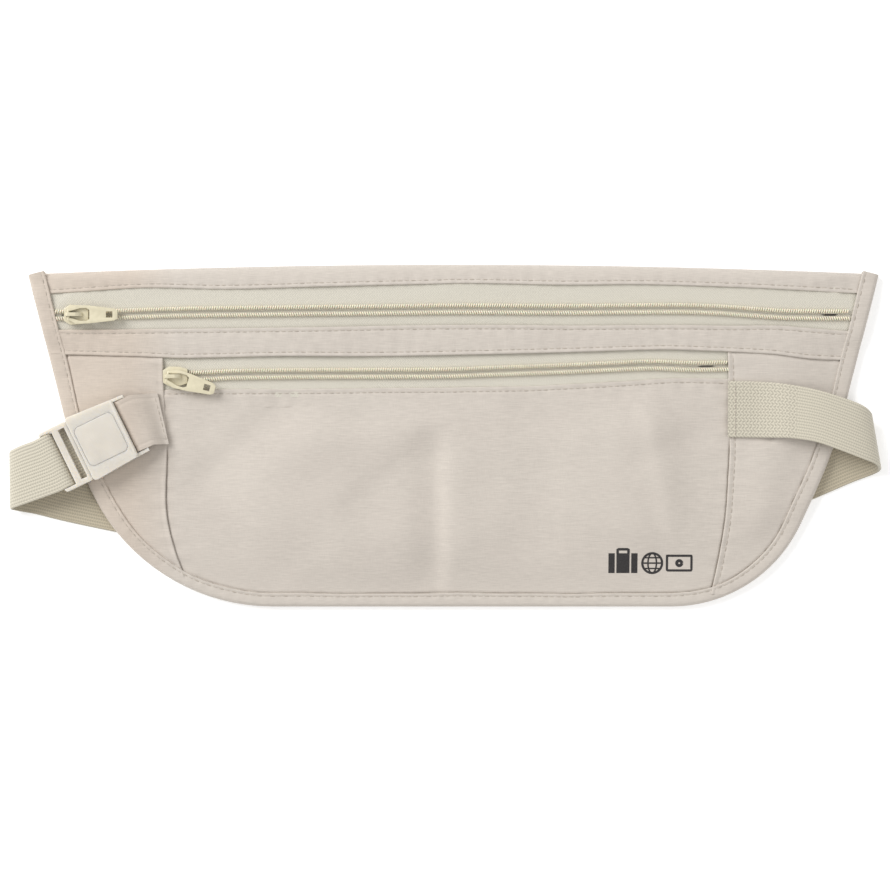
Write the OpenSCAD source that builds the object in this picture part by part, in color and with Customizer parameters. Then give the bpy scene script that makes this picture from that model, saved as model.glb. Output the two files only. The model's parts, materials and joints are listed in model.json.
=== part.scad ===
// Money belt: a flat pouch with two zipped pockets, an elastic waist strap and a
// push-release buckle. It lies on its back with the strap tucked behind the pouch.
// X runs along the belt, Y up the pouch and Z out of its front.

/* [Pouch] */
// Distance of the pouch's middle line from the origin
pouch_x = 3; // [2:0.5:4]
// Half of the pouch's width at the bend of its side edges
knee_half_w = 134; // [130:0.5:136]
// Height of that bend
knee_y = -4.7; // [-8:0.1:-2]
// Height of the lowest edge
pouch_bottom = -60.2; // [-64:0.1:-58]
// Height of the two top corners
corner_y = 57.2; // [56:0.1:60]
// Rise of the top edge from its corners to its middle
top_bow = 3; // [1:0.5:4]
// Radius of the lower left corner
left_corner_r = 70; // [60:1:74]
// Radius of the lower right corner
right_corner_r = 50; // [44:1:60]
// Lean of the side edges above the bend, in degrees
side_top = 14.4; // [12:0.1:16]
// Lean of the side edges below the bend, in degrees
side_low = 24; // [22:0.5:26]
// Thickness of the cloth
cloth_t = 0.4; // [0.3:0.05:0.4]
// Width of the edge binding on the sides
binding_w = 6.2; // [5:0.1:7]
// Height of the top hem on the front
hem_w = 6.8; // [6:0.1:7.5]
// Height of the top hem on the back
hem_back_w = 9; // [7:0.5:10]
// Lower fold of the band between the zips
band_bottom = 28.2; // [27.8:0.1:28.6]
// Upper fold of the band between the zips
band_top = 36.8; // [36:0.1:37.2]
// Height of the front pocket's mouth at its middle
pocket_top = 17.2; // [16.6:0.1:17.6]

/* [Zips] */
// Height of the upper zip's chain
zip1_y = 42.4; // [42:0.1:43.4]
// Height of the lower zip's chain at its middle
zip2_y = 22.6; // [22.4:0.1:22.8]
// Rise of the lower zip to the right, in degrees
zip2_tilt = 1.1; // [0.8:0.1:1.4]
// Place of the upper slider along its zip
slider1_x = -129.3; // [-130:0.1:-100]
// Place of the lower slider along its zip
slider2_x = -94.6; // [-94.6:0.1:-60]
// Width of one row of coil teeth
coil_w = 1.75; // [1.5:0.05:1.9]
// Height of one row of coil teeth
coil_h = 1.4; // [1.2:0.05:1.4]
// Length of a slider's body
slider_l = 8.6; // [8:0.1:9]
// Width of a slider's body
slider_w = 7; // [6.4:0.1:7.2]
// Length of a pull tab from its hinge
pull_l = 17.2; // [14:0.1:20]
// Turn of the lower pull tab to the right, in degrees
pull2_turn = 17; // [0:1:18]

/* [Strap] */
// Width of the elastic
strap_w = 19.8; // [19:0.1:20]
// Thickness of the elastic
strap_t = 1; // [0.8:0.05:1]
// Radius of the strap's sweep behind the pouch
sweep_r = 494; // [490:1:500]
// Radius of the strap's bend on the front, at the right
bend_r = 118; // [112:1:124]
// Outer radius of the two folds
fold_r = 3.2; // [3.2:0.05:3.3]
// Distance of the left fold from the origin
left_fold_x = 149.8; // [148:0.1:150]
// Distance of the right fold from the origin
right_fold_x = 148.3; // [146:0.1:149]

/* [Buckle] */
// Middle of the button, along the belt
buckle_x = -119.9; // [-121:0.1:-119]
// Middle of the button, up the pouch
buckle_y = -1.3; // [-2:0.1:-1]
// Rise of the buckle to the right, in degrees
buckle_tilt = 26; // [24:0.5:28]
// Width of the socket
socket_w = 24; // [23.6:0.1:24.4]
// Height of the socket
socket_h = 5.6; // [5.6:0.1:6]
// Side of the square push button
button_w = 14.7; // [14:0.1:15]
// Travel of the push button
button_travel = 1.2; // [0.8:0.1:1.2]

/* [Hidden] */
$fn = 48;
gap = 0.1;
run_gap = 0.2;
plate_t = 0.6;
tape_t = 0.4;
knee_r = 150;
seam_in = 0.6;
web_t = 0.5;
beyond = 20;

// Heights of the layers, from the floor up
z_bind_back = strap_t + gap;
z_back = z_bind_back + cloth_t + gap;
z_div = z_back + cloth_t + gap;
z_tape = z_div + cloth_t + plate_t + 0.3;
z_mid = z_tape + tape_t + gap;
z_side = z_mid + cloth_t + gap;
z_bind = z_side + cloth_t + gap;
z_buckle = z_bind + cloth_t + 2 * gap;
z_coil_top = z_tape + tape_t + coil_h;
z_plate = z_coil_top + run_gap;
z_crown = z_plate + plate_t;
z_strap = z_bind + cloth_t + gap;
z_side_top = z_side + cloth_t;

// The coil rows leave a slit between them for the slider's neck
slit = 0.8;
coil_y = (slit + coil_w) / 2;

// Hinge of a pull tab, from the middle of its slider
hinge_x = -2.6;
hinge_z = z_crown + 0.75;
pull_t = 1;
crown_w = 1.3;

// The seams that part the front pocket from the side panels
left_seam = [[-99.5, 30], [-97.5, -5], [-98.5, -25], [-91, -52], [-88, -64]];
right_seam = [[99.5, 30], [100.3, -1], [98.6, -32], [94, -54], [91, -64]];
seam_lap = 5;

// The strap's sweep runs from the left fold to the right fold
sweep_x = -21.7;
sweep_y = 461;
sweep_from = -105;
sweep_split = -103;
sweep_to = -69;
sewn_x = 99.2;
bend_x = 103;
sewn_y = 9.3;
right_fold_y = -2.2;
right_fold_turn = 10;
sewn_t = 1.1;
lift_from = 84;

socket_left = -8.5;
socket_right = 9.2;
socket_wall = 1;
cavity_right = 8.4;
tab_bar_u = 11.3;
socket_taper = 0.0565;
arm = 1.1;
lip_h = 0.35;
button_gap = 0.12;
tail_t = 0.6;
tongue_z = z_buckle + 1.15;
tongue_t = 1;
bar_z = z_buckle + 2.4;

cloth_colour = [0.86, 0.83, 0.79];
tape_colour = [0.80, 0.77, 0.68];
elastic_colour = [0.83, 0.80, 0.73];
plastic_colour = [0.88, 0.85, 0.81];
slider_colour = [0.92, 0.88, 0.77];

// Points along an arc
function arc(c, r, a0, a1, n) =
    [for (i = [0:n]) let (a = a0 + (a1 - a0) * i / n) c + r * [cos(a), sin(a)]];

// One side of the pouch from the bottom to the top corner, moved inwards by d
function side_edge(corner_r, d, top_d) =
    let (
        cy = pouch_bottom + corner_r,
        cx = knee_half_w + ((cy - knee_y) * sin(side_low) - corner_r) / cos(side_low),
        t = knee_r * tan((side_low - side_top) / 2),
        knee = [knee_half_w - t * sin(side_low), knee_y - t * cos(side_low)],
        kc = knee - knee_r * [cos(side_low), -sin(side_low)],
        p = kc + (knee_r - d) * [cos(side_top), -sin(side_top)],
        y = corner_y - top_d
    )
    concat(
        arc([cx, cy], corner_r - d, -90, -side_low, 18),
        arc(kc, knee_r - d, -side_low, -side_top, 4),
        [[p[0] + (y - p[1]) * tan(side_top), y]]
    );

function flipped(pts) = [for (i = [len(pts) - 1:-1:0]) [-pts[i][0], pts[i][1]]];

// Points between the two top corners
function top_edge(a, b) =
    [for (i = [1:15]) let (s = i / 16) a + (b - a) * s + [0, 4 * top_bow * s * (1 - s)]];

// Outline of the pouch, moved inwards by d, and down by top_d at its top edge
function outline(d, top_d) =
    let (r = side_edge(right_corner_r, d, top_d), l = flipped(side_edge(left_corner_r, d, top_d)))
    concat(r, top_edge(r[len(r) - 1], l[0]), l);

function shifted(pts, dx) = [for (p = pts) p + [dx, 0]];
function reversed(pts) = [for (i = [len(pts) - 1:-1:0]) pts[i]];

module pouch(d, top_d) {
    translate([pouch_x, 0]) polygon(outline(d, top_d));
}

// The area inside the binding's inner edge, open at the top
module inside_binding(extra) {
    translate([0, -1.6]) pouch(binding_w + extra, -beyond);
}

module strip(y0, y1) {
    translate([-200, y0]) square([400, y1 - y0]);
}

module layer(z, t) {
    translate([0, 0, z]) linear_extrude(t) children();
}

module round_rect(w, h, r) {
    square([w - 2 * r, h], center = true);
    square([w, h - 2 * r], center = true);
    for (x = [-1, 1], y = [-1, 1])
        translate([x * (w / 2 - r), y * (h / 2 - r)]) circle(r);
}

// The normal at point i of a path, as long as a mitre of thickness t needs
function mitre(path, i, t) =
    let (
        a = path[max(i, 1)] - path[max(i, 1) - 1],
        b = path[min(i + 1, len(path) - 1)] - path[min(i, len(path) - 2)],
        na = [-a[1], a[0]] / norm(a),
        nb = [-b[1], b[0]] / norm(b),
        n = (na + nb) / norm(na + nb)
    )
    n * t / 2 / (n * na);

// A flat band of thickness t that follows a path
module ribbon(path, t) {
    sides = [for (s = [1, -1]) [for (i = [0:len(path) - 1]) path[i] + s * mitre(path, i, t)]];
    polygon(concat(sides[0], reversed(sides[1])));
}

// Extrudes a profile drawn along X and Z across a width
module across(w) {
    rotate([90, 0, 0]) linear_extrude(w, center = true) children();
}

// ---- Cloth ----

module back_panel() {
    color(cloth_colour) layer(z_back, cloth_t) pouch(seam_in, seam_in);
}

module divider_panel() {
    color(cloth_colour) layer(z_div, cloth_t) intersection() {
        pouch(seam_in, seam_in);
        strip(-100, band_top - 1);
    }
}

module front_pocket_panel() {
    mouth = [for (x = [105, -105]) [x, pocket_top + x * tan(zip2_tilt)]];
    color(cloth_colour) layer(z_mid, cloth_t) intersection() {
        pouch(seam_in, seam_in);
        polygon(concat(mouth, shifted(below_mouth(left_seam), -seam_lap),
            reversed(shifted(below_mouth(right_seam), seam_lap))));
    }
}

function below_mouth(seam) = [for (p = seam) if (p[1] < 10) p];

module side_panel(edge, far_x) {
    color(cloth_colour) layer(z_side, cloth_t) intersection() {
        pouch(seam_in, seam_in);
        strip(-100, band_bottom - gap);
        polygon(concat(edge, [[far_x, -64], [far_x, 30]]));
    }
}

module left_side_panel() { side_panel(left_seam, -160); }

module right_side_panel() { side_panel(right_seam, 160); }

module zip_band() {
    color(cloth_colour) layer(z_side, cloth_t) intersection() {
        pouch(seam_in, seam_in);
        strip(band_bottom, band_top);
    }
}

// A hem turned over the top edge; its back fold rests on the floor
module top_hem() {
    color(cloth_colour) union() {
        layer(z_mid, cloth_t) difference() {
            pouch(seam_in, 0);
            pouch(-beyond, hem_w);
        }
        layer(0, z_mid + cloth_t) difference() {
            hem_area();
            pouch(-beyond, web_t);
        }
        layer(0, z_back - gap) difference() {
            hem_area();
            pouch(-beyond, hem_back_w);
        }
    }
}

module hem_area() {
    intersection() {
        pouch(seam_in, 0);
        inside_binding(web_t);
    }
}

// A strip folded round the side and bottom edges
module edge_binding() {
    color(cloth_colour) union() {
        for (z = [z_bind_back, z_bind]) layer(z, cloth_t) difference() {
            pouch(0, 0);
            inside_binding(0);
        }
        layer(z_bind_back, z_bind + cloth_t - z_bind_back) difference() {
            pouch(0, 0);
            pouch(web_t, -beyond);
        }
    }
}

// ---- Zips ----

module zip1() { translate([0, zip1_y, 0]) children(); }

module zip2() { translate([0, zip2_y, 0]) rotate([0, 0, zip2_tilt]) children(); }

module upper_tape(y0, y1) {
    color(tape_colour) layer(z_tape, tape_t) intersection() {
        pouch(seam_in, seam_in);
        translate([0, zip1_y]) strip(y0, y1);
    }
}

module upper_zip_top_tape() { upper_tape(slit / 2 + 0.05, 11); }

module upper_zip_bottom_tape() { upper_tape(-9.8, -slit / 2 - 0.05); }

module lower_tape(y0, y1) {
    color(tape_colour) zip2() layer(z_tape, tape_t)
        translate([-104, y0]) square([208, y1 - y0]);
}

module lower_zip_top_tape() { lower_tape(slit / 2 + 0.05, 7.6); }

module lower_zip_bottom_tape() { lower_tape(-8.6, -slit / 2 - 0.05); }

// One row of teeth, with a rounded cross-section
module coil(x0, x1, side) {
    r = coil_h / 2;
    color(tape_colour) translate([x0, side * coil_y, z_tape + tape_t + r])
        rotate([90, 0, 90]) linear_extrude(x1 - x0) {
            square([coil_w - 2 * r, coil_h], center = true);
            for (s = [-1, 1]) translate([s * (coil_w / 2 - r), 0]) circle(r);
        }
}

module upper_zip_top_coil() { zip1() coil(-134.7, 142.2, 1); }

module upper_zip_bottom_coil() { zip1() coil(-134.7, 142.2, -1); }

module lower_zip_top_coil() { zip2() coil(-98.4, 99.4, 1); }

module lower_zip_bottom_coil() { zip2() coil(-98.4, 99.4, -1); }

// Two plates round the chain, joined by a neck at the open end
module slider_body() {
    half = slider_l / 2;
    w = slider_w / 2;
    plan = [[-half, -0.62 * w], [-half / 2, -w], [0.4 * half, -0.94 * w], [half, -0.72 * w],
        [half, 0.72 * w], [0.4 * half, 0.94 * w], [-half / 2, w], [-half, 0.62 * w]];
    lip = 2 * coil_y + coil_w + 2 * run_gap;
    color(slider_colour) union() {
        layer(z_plate, plate_t) polygon(plan);
        layer(z_div + cloth_t + 0.15, plate_t) polygon(plan);
        layer(z_tape + tape_t + 0.25, z_plate - z_tape - tape_t - 0.2) difference() {
            polygon(plan);
            square([2 * slider_l, lip], center = true);
        }
        translate([-half + 0.4, -0.25, z_div + cloth_t + 0.2])
            cube([2.6, 0.5, z_plate - z_div - cloth_t]);
    }
}

// An arch on the top plate that the pull tab hangs from
module slider_crown() {
    color(slider_colour) translate([0, 0, z_crown]) across(crown_w) difference() {
        polygon([[-3.7, 0], [2.2, 0], [2.2, 0.5], [1.4, 1.6], [0, 2.35], [-2.9, 2.3], [-3.7, 1.3]]);
        translate([-3.3, 0.06]) polygon([[0, 0], [4.9, 0], [4.9, 0.6], [4.2, 1.1], [3, 1.5],
            [0.6, 1.55], [0, 1.2]]);
    }
}

// A flat tab with a small window near its tip and a long eye round the crown, which widens
// so that the tab can also lie turned to one side
module pull_tab() {
    color(slider_colour) translate([hinge_x, 0, hinge_z]) union() {
        translate([0, 0, -pull_t / 2]) linear_extrude(pull_t) difference() {
            polygon([[0, -1.9], [2.6, -3.3], [7.6, -3.1], [pull_l - 1.2, -2.1], [pull_l, -1.4],
                [pull_l, 1.4], [pull_l - 1.2, 2.1], [7.6, 3.1], [2.6, 3.3], [0, 1.9]]);
            polygon([[-0.1, -1.3], [1, -1.3], [4.2, -2.25], [6.4, -2.25], [7.4, -1.6],
                [7.4, 1.6], [6.4, 2.25], [4.2, 2.25], [1, 1.3], [-0.1, 1.3]]);
            translate([13.2, -1.1]) square([2.3, 2.2]);
        }
        rotate([90, 0, 0]) cylinder(h = 3.8, r = 0.5, center = true);
    }
}

module upper_slider_body() { zip1() translate([slider1_x, 0, 0]) slider_body(); }

module upper_slider_crown() { zip1() translate([slider1_x, 0, 0]) slider_crown(); }

module upper_pull_tab() { zip1() translate([slider1_x, 0, 0]) pull_tab(); }

module lower_slider_body() { zip2() translate([slider2_x, 0, 0]) slider_body(); }

module lower_slider_crown() { zip2() translate([slider2_x, 0, 0]) slider_crown(); }

module lower_pull_tab() {
    zip2() translate([slider2_x + hinge_x, 0, 0]) rotate([0, 0, -pull2_turn])
        translate([-hinge_x, 0, 0]) pull_tab();
}

// ---- Elastic strap ----

module sweep(a0, a1) {
    translate([sweep_x, sweep_y, 0]) rotate([0, 0, a0]) rotate_extrude(angle = a1 - a0, $fn = 360)
        translate([sweep_r - strap_w / 2, 0]) square([strap_w, strap_t]);
}

// The space beyond the right fold's axis
module past_right_fold() {
    translate([right_fold_x, right_fold_y, -1]) rotate([0, 0, right_fold_turn])
        translate([0, -50, 0]) cube([60, 100, 20]);
}

module past_left_fold() {
    translate([-left_fold_x - 60, -60, -1]) cube([60, 100, 20]);
}

// Half a turn of elastic round an axis along Y, open towards -X
module fold(w) {
    rotate([90, 0, 0]) linear_extrude(w, center = true) difference() {
        circle(fold_r);
        circle(fold_r - strap_t);
        translate([-2 * fold_r, -fold_r - 1]) square([2 * fold_r, 2 * fold_r + 2]);
    }
}

// Part of the strap's bend on the front, from one angle to another
module front_bend(a0, a1, z, t) {
    translate([bend_x, sewn_y - bend_r, z]) rotate([0, 0, a0])
        rotate_extrude(angle = a1 - a0, $fn = 180)
            translate([bend_r - strap_w / 2, 0]) square([strap_w, t]);
}

// The sewn end lies flat, low enough for the lower pull tab to pass over it
module strap_sewn_end() {
    color(elastic_colour) difference() {
        union() {
            front_bend(60, lift_from + 1, z_strap, strap_t);
            front_bend(lift_from, 90, z_side_top, sewn_t);
            translate([sewn_x, sewn_y - strap_w / 2, z_side_top])
                cube([bend_x - sewn_x + 1, strap_w, sewn_t]);
        }
        past_right_fold();
    }
}

module strap_right_fold() {
    color(elastic_colour) translate([right_fold_x, right_fold_y, fold_r])
        rotate([0, 0, right_fold_turn]) fold(strap_w + 0.6);
}

module strap_back_run() {
    color(elastic_colour) difference() {
        sweep(sweep_split, sweep_to);
        past_right_fold();
    }
}

module strap_left_fold() {
    color(elastic_colour) union() {
        difference() {
            sweep(sweep_from - 1, sweep_split - 0.02);
            past_left_fold();
        }
        translate([-left_fold_x, -16.5, fold_r]) rotate([0, 0, 180]) fold(strap_w + 1.2);
    }
}

// The elastic runs over the plug's end bar, down its outer slot and under its middle bar
module strap_buckle_loop() {
    over = 2 * fold_r - strap_t / 2;
    path = [[-42, over], [-27, over], [-20.9, z_buckle + 3.75], [-18.6, z_buckle + 3.95],
        [-16.9, z_buckle + 3.95], [-16, z_buckle + 3.1], [-16, z_buckle]];
    color(elastic_colour) difference() {
        buckle() union() {
            across(strap_w) ribbon(path, strap_t);
            across(strap_w - 0.2) translate([-16.3, z_buckle - 0.15]) square([7, tail_t]);
        }
        past_left_fold();
    }
}

// A row of thread stitches from a to b on a surface at height z
module stitch_row(a, b, z, count) {
    step = (b - a) / count;
    color("linen") for (i = [0:count - 1])
        translate([a[0] + step[0] * (i + 0.5), a[1] + step[1] * (i + 0.5), z])
            rotate([0, 0, atan2(step[1], step[0])])
                linear_extrude(0.2) square([0.7 * norm(step), 0.35], center = true);
}

module strap_stitching() {
    stitch_row([sewn_x + 2.6, 1], [sewn_x + 2.6, 17.8], z_side_top + sewn_t, 8);
}

module tab_stitching() {
    stitch_row([-102.6, 13.8], [-98.8, -2.2], z_side_top + gap + 1.2, 8);
}

// ---- Buckle ----

module buckle() {
    translate([buckle_x, buckle_y, 0]) rotate([0, 0, buckle_tilt]) children();
}

function in_buckle(u, v) =
    [buckle_x + u * cos(buckle_tilt) - v * sin(buckle_tilt),
     buckle_y + u * sin(buckle_tilt) + v * cos(buckle_tilt)];

// A doubled strip of cloth round the socket's bar, sewn down at the pocket's seam
module buckle_tab() {
    half = 9.6;
    near = 15.6;
    color(cloth_colour) union() {
        buckle() across(2 * half) difference() {
            union() {
                translate([tab_bar_u, bar_z]) circle(1.9);
                ribbon([[tab_bar_u + 1, bar_z - 0.9], [near + 1, z_bind + 0.6]], 1.2);
            }
            translate([tab_bar_u, bar_z]) circle(1.1);
        }
        layer(z_bind, 1.2) polygon([in_buckle(near, half), [-100.8, 14.9], [-96.8, -3],
            in_buckle(near, -half)]);
    }
}

// Half the socket's width, which tapers towards the tab
function socket_half(u) = socket_w / 2 - (u - socket_left) * socket_taper;

module buckle_socket() {
    r = 1.2;
    end_u = tab_bar_u + 2;
    a = socket_half(socket_left);
    b = socket_half(socket_right);
    color(plastic_colour, 0.85) buckle() difference() {
        union() {
            layer(z_buckle, socket_h) polygon(concat(
                arc([socket_left + r, r - a], r, 180, 270, 5),
                arc([socket_right - arm, arm - b], arm, 270, 360, 4),
                arc([socket_right - arm, b - arm], arm, 0, 90, 4),
                arc([socket_left + r, a - r], r, 90, 180, 5)));
            layer(z_buckle + socket_h - 0.2, lip_h + 0.2)
                translate([socket_right - 1.1, 0.6 - b]) square([0.8, 2 * b - 1.2]);
            for (s = [-1, 1]) layer(bar_z - 1.6, 3.2) polygon([
                [socket_right - 1.2, s * socket_half(socket_right - 1.2)],
                [end_u, s * socket_half(end_u)], [end_u, s * (socket_half(end_u) - arm)],
                [socket_right - 1.2, s * (socket_half(socket_right - 1.2) - arm)]]);
            translate([tab_bar_u, 0, bar_z]) rotate([90, 0, 0])
                cylinder(h = 2 * socket_half(tab_bar_u) - arm, r = 1, center = true);
        }
        translate([socket_left - 1, -socket_w / 2 + 1.7, z_buckle + socket_wall])
            cube([cavity_right - socket_left + 1, socket_w - 3.4, socket_h - 2 * socket_wall]);
        translate([0, 0, z_buckle + socket_h - 2]) linear_extrude(4)
            round_rect(button_w + 2 * button_gap, button_w + 2 * button_gap, 2.1);
    }
}

// A frame with two slots, and a tongue that slides into the socket
module buckle_plug() {
    shoulder = socket_left - 0.2;
    tail = -19.3;
    w = 22.6;
    color(plastic_colour, 0.85) buckle() union() {
        difference() {
            translate([(shoulder + tail) / 2, 0, z_buckle + 0.5]) linear_extrude(3.6)
                round_rect(shoulder - tail, w, 1);
            translate([-12.4, -9.5, z_buckle]) cube([2.3, 19, 8]);
            translate([-17.1, -10.1, z_buckle]) cube([2.3, 20.2, 8]);
            translate([tail - 1, -10.1, z_buckle + 3.3]) cube([4, 20.2, 8]);
            translate([tail - 1, -10.1, z_buckle - 1]) cube([4, 20.2, 2.3]);
        }
        translate([shoulder - 1, -8.5, tongue_z]) cube([15.6, 17, tongue_t]);
    }
}

module push_button() {
    flange_z = tongue_z + tongue_t + button_travel + gap;
    flange_t = z_buckle + socket_h - socket_wall - gap - flange_z;
    color(plastic_colour, 0.9) buckle() union() {
        translate([0.1, 0, flange_z]) linear_extrude(flange_t) round_rect(16.2, 16.6, 1.5);
        translate([0, 0, flange_z]) linear_extrude(z_buckle + socket_h + 0.1 - flange_z)
            round_rect(button_w, button_w, 2);
    }
}

back_panel();
divider_panel();
front_pocket_panel();
left_side_panel();
right_side_panel();
zip_band();
top_hem();
edge_binding();
upper_zip_top_tape();
upper_zip_bottom_tape();
upper_zip_top_coil();
upper_zip_bottom_coil();
lower_zip_top_tape();
lower_zip_bottom_tape();
lower_zip_top_coil();
lower_zip_bottom_coil();
upper_slider_body();
upper_slider_crown();
upper_pull_tab();
lower_slider_body();
lower_slider_crown();
lower_pull_tab();
strap_sewn_end();
strap_right_fold();
strap_back_run();
strap_left_fold();
strap_buckle_loop();
strap_stitching();
buckle_tab();
tab_stitching();
buckle_socket();
buckle_plug();
push_button();
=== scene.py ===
"""Money belt: its cloth, zips, elastic strap and buckle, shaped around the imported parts."""

import json
import math
from contextlib import contextmanager

import bpy
import numpy as np
from bpy.props import FloatProperty, FloatVectorProperty, IntProperty, PointerProperty
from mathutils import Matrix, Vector, noise


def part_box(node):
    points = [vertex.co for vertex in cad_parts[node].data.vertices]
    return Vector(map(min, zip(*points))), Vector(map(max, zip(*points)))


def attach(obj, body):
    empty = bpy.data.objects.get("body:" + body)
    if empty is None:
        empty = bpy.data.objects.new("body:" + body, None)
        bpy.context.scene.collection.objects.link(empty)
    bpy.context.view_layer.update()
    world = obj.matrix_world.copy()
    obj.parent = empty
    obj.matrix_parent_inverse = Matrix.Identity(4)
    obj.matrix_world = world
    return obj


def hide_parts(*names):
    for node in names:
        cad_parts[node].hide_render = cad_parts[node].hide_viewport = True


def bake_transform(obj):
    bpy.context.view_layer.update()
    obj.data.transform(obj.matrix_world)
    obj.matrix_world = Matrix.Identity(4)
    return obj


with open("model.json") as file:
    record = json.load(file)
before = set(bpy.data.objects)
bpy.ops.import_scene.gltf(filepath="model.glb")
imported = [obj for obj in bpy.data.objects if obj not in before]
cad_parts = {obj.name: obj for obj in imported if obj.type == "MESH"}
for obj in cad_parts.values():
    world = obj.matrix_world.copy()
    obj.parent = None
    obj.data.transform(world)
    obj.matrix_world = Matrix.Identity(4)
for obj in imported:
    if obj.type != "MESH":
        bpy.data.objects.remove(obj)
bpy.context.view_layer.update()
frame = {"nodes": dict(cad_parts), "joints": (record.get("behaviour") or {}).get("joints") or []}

bl_info = {
    "name": "Money belt",
    "version": (1, 0, 0),
    "blender": (4, 5, 0),
    "location": "3D View > Sidebar > Money belt",
    "description": "Cloth, zips, elastic strap and buckle of a flat waist pouch",
    "category": "Add Mesh",
}

MM = 0.001


# ---- Places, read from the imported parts, in millimetres ----

def box_mm(node):
    """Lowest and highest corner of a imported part."""
    low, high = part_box(node)
    return np.array(low) / MM, np.array(high) / MM


def top_of(node):
    """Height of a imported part's upper face."""
    return box_mm(node)[1][2]


def corners_of(node):
    """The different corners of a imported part, in millimetres."""
    mesh = frame["nodes"][node].data
    points = np.empty(len(mesh.vertices) * 3)
    mesh.vertices.foreach_get("co", points)
    return np.unique(np.round(points.reshape(-1, 3) / MM, 4), axis=0)


def joint(name):
    """The record's entry of one joint."""
    return next(j for j in frame["joints"] if j["name"] == name)


SEAM_IN = 0.6  # from the binding's outer edge to the edge of the cloth in it
EDGE_STEP = 1.2  # from one point of the pouch's edge to the next
STITCH_IN = 1.3  # from a fold to its row of stitches
BAND_Y, HEM_Y = 33, 52  # heights along Y in the middle of the band and of the hem
POUCH_MIDDLE = sum(corner[0] for corner in box_mm("back_panel")) / 2
CORNER_Y = box_mm("edge_binding")[1][1] - SEAM_IN
POUCH_TOP = box_mm("top_hem")[1][1]
POUCH_BOTTOM = box_mm("edge_binding")[0][1]
CLOTH_BOTTOM = POUCH_BOTTOM + 1.2
POCKET_LEVEL = top_of("front_pocket_panel")
SIDE_LEVEL = top_of("left_side_panel")
BAND_LEVEL = top_of("zip_band")
HEM_LEVEL = top_of("top_hem")
BINDING_LEVEL = top_of("edge_binding")
TAPE_LEVEL = top_of("upper_zip_top_tape")
COIL_LEVEL = top_of("upper_zip_top_coil")

UPPER_ZIP_Y = (box_mm("upper_zip_top_tape")[0][1] + box_mm("upper_zip_bottom_tape")[1][1]) / 2
ZIP_AXIS = Vector(joint("lower_zip_slide")["axis"])
LOWER_ZIP_SLOPE = ZIP_AXIS.y / ZIP_AXIS.x
LOWER_HINGE = Vector(joint("lower_pull_flip")["pos_m"]) / MM
LOWER_ZIP_Y = LOWER_HINGE.y - LOWER_HINGE.x * LOWER_ZIP_SLOPE
ZIPS = {"upper": (UPPER_ZIP_Y, 0), "lower": (LOWER_ZIP_Y, LOWER_ZIP_SLOPE)}

BUCKLE_OUT = Vector(joint("buckle_release")["axis"])
BUCKLE_ALONG = -np.array(BUCKLE_OUT[:2])
BUCKLE_ACROSS = np.array([-BUCKLE_ALONG[1], BUCKLE_ALONG[0]])
BUTTON_CENTRE = sum(corner[:2] for corner in box_mm("push_button")) / 2
BUCKLE_BASE = box_mm("buckle_socket")[0][2]


def in_buckle(u, v):
    """The point u along the buckle and v across it, from the middle of its button."""
    return BUTTON_CENTRE + u * BUCKLE_ALONG + v * BUCKLE_ACROSS


def edge_corners(right):
    """Corners of the pouch's left or right edge, from the bottom up, as heights and places."""
    points = corners_of("back_panel")
    points = points[points[:, 1] < CORNER_Y + 0.1]
    points = points[(points[:, 0] > POUCH_MIDDLE) == right]
    order = np.argsort(points[:, 1])
    return points[order][:, 1], points[order][:, 0]


LEFT_EDGE, RIGHT_EDGE = edge_corners(False), edge_corners(True)


def place_on(line, y):
    """Place along X of a line given as heights and places."""
    return np.interp(y, line[0], line[1])


def smooth(share):
    """Rises smoothly from 0 to 1."""
    s = np.clip(share, 0, 1)
    return s * s * (3 - 2 * s)


def resampled(points, step):
    """Points along a path, about step apart."""
    points = np.asarray(points, float)
    gaps = np.linalg.norm(np.diff(points, axis=0), axis=1)
    along = np.concatenate([[0], np.cumsum(gaps)])
    count = max(2, int(round(along[-1] / step)) + 1)
    at = np.linspace(0, along[-1], count)
    return np.stack([np.interp(at, along, points[:, k]) for k in range(points.shape[1])], 1)


def curve_through(points, per_span):
    """A smooth path through given points."""
    points = np.asarray(points, float)
    ends = np.concatenate([[2 * points[0] - points[1]], points, [2 * points[-1] - points[-2]]])
    found = []
    for a, b, c, d in zip(ends, ends[1:], ends[2:], ends[3:]):
        for t in np.arange(per_span) / per_span:
            found.append(0.5 * (2 * b + (c - a) * t + (2 * a - 5 * b + 4 * c - d) * t ** 2
                                + (3 * b - a - 3 * c + d) * t ** 3))
    found.append(points[-1])
    return np.array(found)


def tangents_of(path):
    """Unit directions along a path."""
    t = np.gradient(path, axis=0)
    return t / np.linalg.norm(t, axis=1)[:, None]


def outer_edge():
    """The pouch's edge from its top left corner round the bottom to its top right one."""
    left = np.stack([LEFT_EDGE[1], LEFT_EDGE[0]], 1)[::-1]
    right = np.stack([RIGHT_EDGE[1], RIGHT_EDGE[0]], 1)
    path = resampled(np.concatenate([left, right]), EDGE_STEP)
    t = tangents_of(path)
    inward = np.stack([-t[:, 1], t[:, 0]], 1)
    return path - SEAM_IN * inward, inward


EDGE_PATH, EDGE_INWARD = outer_edge()


def drawn(*points):
    """A smooth line through given points, as places along X and heights along Y."""
    dense = curve_through(points, 8)
    return dense[:, 0], dense[:, 1]


def height_on(line, x):
    """Height along Y of a drawn line."""
    return np.interp(x, line[0], line[1])


# The two seams, as heights and places
LEFT_SEAM = drawn((-64, -87), (-52, -91), (-39, -95.6), (-25, -98.3), (-5, -98), (12, -98.9),
                  (32, -99.5))
RIGHT_SEAM = drawn((-64, 91), (-54, 94.2), (-32, 98.4), (-15, 99.8), (-1, 100.3), (32, 99.5))

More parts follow.
